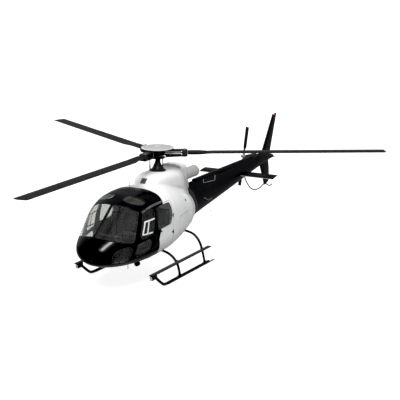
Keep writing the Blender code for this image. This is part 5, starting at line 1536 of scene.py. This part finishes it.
def skid(side, word):
    """One skid with its shoe, spring and saddles, and the step above it."""
    x = side * SKID_X
    points = [(x, -2.165, 0.425), (x, -2.1, 0.372), (x, -2.01, 0.3), (x, -1.91, 0.222),
        (x, -1.81, 0.148), (x, -1.73, 0.096), (x, -1.65, 0.061), (x, -1.57, 0.046),
        (x, -1.48, SKID_Z), (x, -1.3, SKID_Z), (x, 0.0, SKID_Z), (x, 0.8, SKID_Z)]
    tube = rod("tube", flowing(points, 4, False), 0.0395, 20)
    shoe = block("shoe", (SKID_X - 0.024, -1.46, 0.0005), (SKID_X + 0.024, 0.7, 0.012), 0.003,
        side)
    spring = block("spring", (SKID_X - 0.028, 0.6, 0.006), (SKID_X + 0.028, 1.14, 0.018), 0.004,
        side)
    end = turned("end", ((0.0, 0.79), (0.04, 0.79), (0.041, 0.8), (0.038, 0.812), (0.0, 0.815)),
        (x, 0, SKID_Z), (0, 1, 0), 24)
    saddles = []
    for y in (-0.8, 0.6):
        saddles.append(turned("saddle", ((0.0, y - 0.075), (0.043, y - 0.075), (0.046, y - 0.07),
            (0.046, y + 0.07), (0.043, y + 0.075), (0.0, y + 0.075)), (x, 0, 0.0475), (0, 1, 0),
            24))
        saddles.append(turned("collar", ((0.0, 0.0), (0.0395, 0.0), (0.0395, 0.055),
            (0.034, 0.066), (0.0, 0.066)), (x - side * 0.005, y, 0.055), (-side * 0.11, 0, 1.0),
            24))
    stand_in(joined("skid_tube_" + word, [tube, shoe, spring, end] + saddles), "gear_paint",
        "skid_" + word)
    step = block("step", (1.09, -2.335, 0.452), (1.205, 0.85, 0.4805), 0.005, side)
    brackets = [block("bracket", low, high, 0.006, side)
        for low, high in (((1.0, -0.835, 0.44), (1.12, -0.765, 0.47)),
        ((1.0, 0.565, 0.44), (1.12, 0.635, 0.47)), ((1.1, -2.29, 0.385), (1.174, -2.06, 0.456)),
        ((1.104, -2.31, 0.325), (1.118, -2.05, 0.4)), ((1.156, -2.31, 0.325), (1.17, -2.05, 0.4)))]
    stand_in(joined("step_board_" + word, [step] + brackets), "gear_paint", "step_" + word)
    tread = block("tread_strip_" + word, (1.098, -2.315, 0.4803), (1.197, 0.83, 0.4818), 0.0005,
        side, 1)
    dress(tread, "tread")


class HELI_OT_fittings(bpy.types.Operator):
    """Door hinges and handles, gutters, antennas, lights, vents and rivets"""
    bl_idname = "helicopter.fittings"
    bl_label = "Small fittings"

    def execute(self, context):
        hull, boom = surfaces["hull"], surfaces["boom"]
        for side, word in SIDES:
            hinges(side, word)
            handles(side, word)
            for shift, radius in ((0.0, 0.006), (0.026, 0.0035)):
                line = laid(hull, [(side * x, y, z - shift)
                    for x, y, z in ((0.736, -2.074, 2.029), (0.768, -1.709, 2.111),
                    (0.787, -1.435, 2.134), (0.794, -1.118, 2.144))], (-side, 0, 0), 0.003)
                dress(bead("gutter_%s_%d" % (word, shift * 100),
                    flowing([p for p, _ in line], 6, False), radius, 8, False), "grey_trim")
            spots = [(y, 1.6 - 0.02 * (y > 0.5)) for y in (-0.52, -0.44)]
            spots += [(y, z) for z in (1.72, 1.18) for y in np.arange(-0.5, 1.16, 0.085)]
            spots += [(1.215, z) for z in np.arange(1.1, 1.72, 0.06)]
            dress(studs("hull_rivets_" + word, on_side(side, spots), 0.0045, 0.002), "white_trim")
            place, normal = on_side(side, [(0.354, 1.833)])[0]
            dress(turned("vent_" + word, ((0.0, -0.004), (0.032, -0.004), (0.034, 0.004),
                (0.027, 0.01), (0.022, 0.006), (0.0, 0.002)), place, normal, 24), "gear_paint")
            place, normal = on_side(side, [(0.597, 1.417)])[0]
            dress(turned("filler_" + word, ((0.0, -0.004), (0.03, -0.004), (0.031, 0.003),
                (0.026, 0.007), (0.0, 0.008)), place, normal, 28), "white_trim")
            marks = [(0.465, 0.496), (0.219, 0.733), (0.52, 0.2)]
            dress(studs("latches_" + word, laid(hull, [(side * x, y, 3.0) for x, y in marks],
                (0, 0, -1)), 0.016, 0.006), "rod_grey")
            # The grey bead round the boom's hatch is partly its rim and partly a painted
            # highlight, for the light that the cover's top edge catches.
            for kind, corners, closed in (("seam", ((0.315, 2.081, 1.497), (0.286, 2.413, 1.346),
                    (0.271, 2.659, 1.37)), False), ("hatch", ((0.064, 3.252, 1.941),
                    (0.171, 3.036, 1.813), (0.153, 2.352, 1.865), (0.053, 2.539, 1.958)), True)):
                line = [boom.find_nearest(Vector(p)) for p in dense(corners, 0.04, closed)]
                dress(bead("boom_%s_%s" % (kind, word),
                    [(side * p.x, p.y, p.z) for p in (a + n * 0.001 for a, n, _, _ in line)],
                    0.0055, 8, closed), "grey_trim")
            dress(studs("boom_rivets_" + word, laid(boom,
                [(side * 1.0, y, 1.45 + 0.065 * y) for y in np.arange(1.55, 6.2, 0.11)],
                (-side, 0, 0), 0.0), 0.004, 0.002), "boom_paint")
            lamp_box(side, word)
        for side, _ in SIDES:
            dress(bead("stabiliser_edge_%d" % (side > 0),
                [(side * x, 4.697, 1.62) for x in (0.19, 1.24)], 0.007, 8, False), "grey_trim")
        whips = [rod("whip", flowing([(0, 3.0, 1.17), (0, 3.05, 0.95), (0, 3.16, 0.62)], 5, False),
            0.0065, 8), rod("whip", [(0, 1.91, 1.05), (0, 1.95, 0.5)], 0.0055, 8),
            turned("foot", ((0.0, 0.0), (0.03, 0.0), (0.02, -0.02), (0.0, -0.03)), (0, 3.0, 1.155),
            (0, 0, 1), 20)]
        dress(joined("whip_antennas", whips), "grey_trim")
        mast = [rod("blade", [(-0.3, -0.97, 2.35), (-0.3, -0.97, 2.55)], 0.006, 8),
            turned("foot", ((0.0, 0.0), (0.035, 0.0), (0.022, 0.018), (0.0, 0.02)),
            (-0.3, -0.97, 2.37), (0, 0, 1), 20)]
        dress(joined("roof_antenna", mast), "gear_paint")
        dress(rod("tail_rod", [(0, 7.42, 1.735), (0, 7.62, 1.684)], 0.008, 10), "gear_paint")
        dress(turned("tail_lamp", ((0.0, -0.03), (0.016, -0.024), (0.02, 0.0), (0.016, 0.022),
            (0.0, 0.03)), (0, 7.628, 1.682), (0, 1, -0.26), 20), "lamp_orange")
        dress(turned("beacon", ((0.0, 0.0), (0.035, 0.0), (0.036, 0.012), (0.028, 0.03),
            (0.012, 0.038), (0.0, 0.04)), (0, 7.44, 3.105), (0, 0, 1), 24), "lamp_orange")
        pod = turned("belly_pod", ((0.0, -0.09), (0.04, -0.082), (0.066, -0.05), (0.073, 0.0),
            (0.066, 0.05), (0.04, 0.082), (0.0, 0.09)), (0.41, -1.79, 0.552), (0, 1, 0), 32)
        stem = block("stem", (0.37, -1.84, 0.55), (0.43, -1.74, 0.66), 0.012)
        probe = rod("probe", [(0.4, -2.23, 0.66), (0.4, -2.23, 0.52)], 0.008, 10)
        fin = wing("fin", [((-0.25, -2.05, 0.64), (0, 1, 0), (1, 0, 0), 0.12, 0.018),
            ((-0.25, -2.01, 0.5), (0, 1, 0), (1, 0, 0), 0.06, 0.008)])
        dress(joined("belly_fittings", [pod, stem, probe, fin]), "gear_paint")
        tube = rod("tube", flowing([(0.05, -3.3, 1.02), (0.05, -3.36, 0.985),
            (0.05, -3.399, 0.985)], 4, False), 0.008, 10)
        dress(tube, "rod_grey")
        post = laid(hull, [(0.0, -3.3, z) for z in np.arange(1.6, 2.16, 0.055)], (0, 1, 0), 0.0)
        dress(studs("post_screws", post, 0.005, 0.002), "bolt")
        return {'FINISHED'}


def hinge(place, way, radius, reach, gap, grip):
    """Two barrels of a hinge, and the knuckle between them."""
    ends = ((-reach, -gap), (gap, reach))
    barrels = [disc("barrel", radius, low, high, place, way, 20) for low, high in ends]
    return barrels, disc("knuckle", radius, -grip, grip, place, way, 20)


def hinges(side, word):
    """Barrels on the body and leaves on the moving doors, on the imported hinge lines."""
    for kind, x, y, heights, ahead in (("front", 0.77, -2.602, (0.95,), 1.0),
            ("rear", 0.938, -0.785, (1.25, 1.7), -1.0)):
        barrels, leaves = [], []
        for z in heights:
            pair, knuckle = hinge((side * x, y, z), (0, 0, 1), radius=0.009, reach=0.052, gap=0.02,
                grip=0.018)
            spots = [(y + ahead * d, z) for d in (0.012, 0.03, 0.055, 0.075)]
            barrels += pair
            leaves += [knuckle, band("leaf", on_side(side, spots, 0.0005), 0.034, 0.004)]
        dress(joined("hinge_barrels_%s_%s" % (kind, word), barrels), "gear_paint")
        dress(joined("hinge_leaves_%s_%s" % (kind, word), leaves), "gear_paint",
            "door_%s_%s" % (kind, word))
    barrels, leaves = [], []
    for y in (-0.27, 0.2):
        pair, knuckle = hinge((side * 0.85, y, 1.572), (0, 1, 0), radius=0.008, reach=0.05,
            gap=0.018, grip=0.016)
        spots = [(y, z) for z in (1.552, 1.53, 1.51)]
        barrels += pair
        leaves += [knuckle, band("leaf", on_side(side, spots, 0.0005), 0.03, 0.004)]
    dress(joined("hinge_barrels_baggage_" + word, barrels), "composite_grey")
    dress(joined("hinge_leaves_baggage_" + word, leaves), "composite_grey", "baggage_door_" + word)


def handles(side, word):
    """Lever handles of the doors and flush latches of the baggage doors."""
    for kind, y, z in (("front", -1.735, 1.345), ("rear", -1.43, 1.4)):
        place, normal = on_side(side, [(y, z)])[0]
        along = Vector((0, 1, 0))
        up = normal.cross(along).normalized() * side
        along = up.cross(normal).normalized() * side
        parts = [block("plate", (-0.055, -0.02, 0.0), (0.055, 0.02, 0.004), 0.003),
            block("lever", (-0.045, -0.011, 0.012), (0.048, 0.011, 0.02), 0.004),
            block("pivot", (0.028, -0.011, 0.002), (0.048, 0.011, 0.016), 0.003)]
        handle = joined("handle_%s_%s" % (kind, word), parts)
        handle.data.transform(axes(along, up, along.cross(up), place))
        dress(handle, "gear_paint", "door_%s_%s" % (kind, word))
    spots = on_side(side, [(y, 1.055) for y in (-0.25, 0.21)])
    dress(studs("baggage_latches_" + word, spots, 0.018, 0.006), "rod_grey",
        "baggage_door_" + word)


def lamp_box(side, word):
    """Two small round lamps in the bracket at a step's front end."""
    parts, lenses = [], []
    for y, z in ((-2.325, 0.415), (-2.305, 0.365)):
        for x in (1.12, 1.158):
            parts.append(turned("rim", ((0.0, 0.0), (0.019, 0.0), (0.021, -0.022), (0.016, -0.024),
                (0.0, -0.02)), (side * x, y + 0.02, z), (0, 1, 0), 20))
            lenses.append(disc("lens", 0.015, -0.0262, -0.018, (side * x, y + 0.02, z), (0, 1, 0),
                20))
    dress(joined("step_lamps_" + word, parts), "gear_paint")
    dress(joined("step_lenses_" + word, lenses), "lamp_glass")


class HELI_OT_stage(bpy.types.Operator):
    """Pale floor, soft lights and the camera"""
    bl_idname = "helicopter.stage"
    bl_label = "Stage"

    def execute(self, context):
        scene = context.scene
        corners = [(-152, -132, 0), (152, -132, 0), (152, 172, 0), (-152, 172, 0)]
        floor = new_piece("floor", corners, [(0, 1, 2, 3)])
        glowing(floor, "pale_floor", 0.42, 0.8, relief_scale=40.0, scale=0.6)
        inner, outer = 150.0, 152.0
        arc = [(inner * math.cos(a), inner * math.sin(a))
            for a in np.linspace(0, math.pi / 2 - 0.001, 24)]
        shell = [(0.1, outer), (outer, outer), (outer, -0.5), (inner, -0.5)]
        dome = turned("backdrop", arc + shell, (0, 20, 0), (0, 0, 1), 96)
        glowing(dome, "pale_backdrop", 0.02, 1.1)
        dome.visible_shadow = False
        scene.world = bpy.data.worlds.new("soft_sky")
        scene.world.use_nodes = True
        sky = scene.world.node_tree.nodes["Background"].inputs
        sky["Color"].default_value = (0.97, 0.98, 1.0, 1.0)
        sky["Strength"].default_value = 0.4
        look = scene.view_settings
        look.view_transform = 'Standard'
        look.use_curve_mapping = True
        look.curve_mapping.black_level = (0.009, 0.009, 0.009)
        look.curve_mapping.update()
        for name, way, strength, spread in (("key", (0.16, -0.58, 0.77), 3.3, 30.0),
                ("fill", (0.8, -0.3, 0.5), 0.62, 60.0), ("back", (-0.85, 0.15, 0.45), 0.55, 60.0)):
            lamp = light(name, 'SUN', energy=strength, angle=math.radians(spread))
            lamp.rotation_euler = facing(way, (0, 0, 0))
            if name == "key":
                nose_rule(lamp, "key_unlit", 'EXCLUDE')
        lamp = light("strip", 'AREA', shape='RECTANGLE', size=2.1, size_y=14.5, energy=16000.0)
        low, high = Vector((1.96, -15.4, 4.0)), Vector((7.0, -5.5, 13.4))
        back = ((low + high) / 2 - Vector((0.4, -3.9, 1.4))).normalized()
        across = (high - low).cross(back).normalized()
        lamp.matrix_world = axes(across, back.cross(across), back, (low + high) / 2)
        lamp.visible_diffuse = lamp.visible_transmission = False
        nose_rule(lamp, "strip_lit", 'INCLUDE')
        data = bpy.data.cameras.new("camera")
        data.lens, data.sensor_width = 105.77, 36.0
        data.shift_x, data.shift_y = 0.00105, 0.00007
        data.clip_end = 500.0
        scene.camera = linked("camera", data)
        scene.camera.location = (15.836, -27.648, 9.368)
        scene.camera.rotation_euler = facing(scene.camera.location, (0.876, 0.045, 1.767))
        return {'FINISHED'}


def facing(place, target):
    """Turn that makes a lamp or the camera look from a place at a target."""
    return (Vector(target) - Vector(place)).to_track_quat('-Z', 'Y').to_euler()


def glowing(piece, name, shade, glow, **values):
    """Give a piece of the stage a plain finish with a light of its own."""
    plain_finish(name, (shade,) * 3, 0.9, relief=0.02, change=0.01,
        Emission_Color=(1.0, 1.0, 1.0, 1.0), Emission_Strength=glow, **values)
    finishes[name].cycles.emission_sampling = 'NONE'
    piece.data.materials.append(finishes[name])
    piece.visible_diffuse = piece.visible_glossy = False


def light(name, kind, **values):
    data = bpy.data.lights.new(name, kind)
    for key, value in values.items():
        setattr(data, key, value)
    return linked(name, data)


def nose_rule(lamp, name, state):
    """Let a lamp light the nose skin alone, or everything but the nose skin."""
    group = bpy.data.collections.new(name)
    group.objects.link(bpy.data.objects["nose_skin"])
    group.collection_objects[0].light_linking.link_state = state
    lamp.light_linking.receiver_collection = group


STEPS = (HELI_OT_finishes, HELI_OT_body_skin, HELI_OT_glazing, HELI_OT_cabin, HELI_OT_cowling,
    HELI_OT_tail_boom, HELI_OT_tail_rotor, HELI_OT_rotor_head, HELI_OT_main_blades,
    HELI_OT_landing_gear, HELI_OT_fittings, HELI_OT_stage)


class HELI_PT_panel(bpy.types.Panel):
    """The steps that dress the helicopter"""
    bl_idname = "HELI_PT_panel"
    bl_label = "Helicopter"
    bl_space_type = 'VIEW_3D'
    bl_region_type = 'UI'
    bl_category = "Helicopter"

    def draw(self, context):
        column = self.layout.column(align=True)
        for group in (context.scene.helicopter_paint, context.scene.helicopter_sizes):
            for name in group.__annotations__:
                column.prop(group, name)
        for step in STEPS:
            column.operator(step.bl_idname)


CLASSES = (PaintScheme, Sizes) + STEPS + (HELI_PT_panel,)


def register():
    for cls in CLASSES:
        bpy.utils.register_class(cls)
    bpy.types.Scene.helicopter_paint = bpy.props.PointerProperty(type=PaintScheme)
    bpy.types.Scene.helicopter_sizes = bpy.props.PointerProperty(type=Sizes)


def unregister():
    del bpy.types.Scene.helicopter_sizes
    del bpy.types.Scene.helicopter_paint
    for cls in reversed(CLASSES):
        bpy.utils.unregister_class(cls)


def main():
    register()
    for step in STEPS:
        group, name = step.bl_idname.split(".")
        getattr(getattr(bpy.ops, group), name)()


if __name__ == "__main__":
    main()
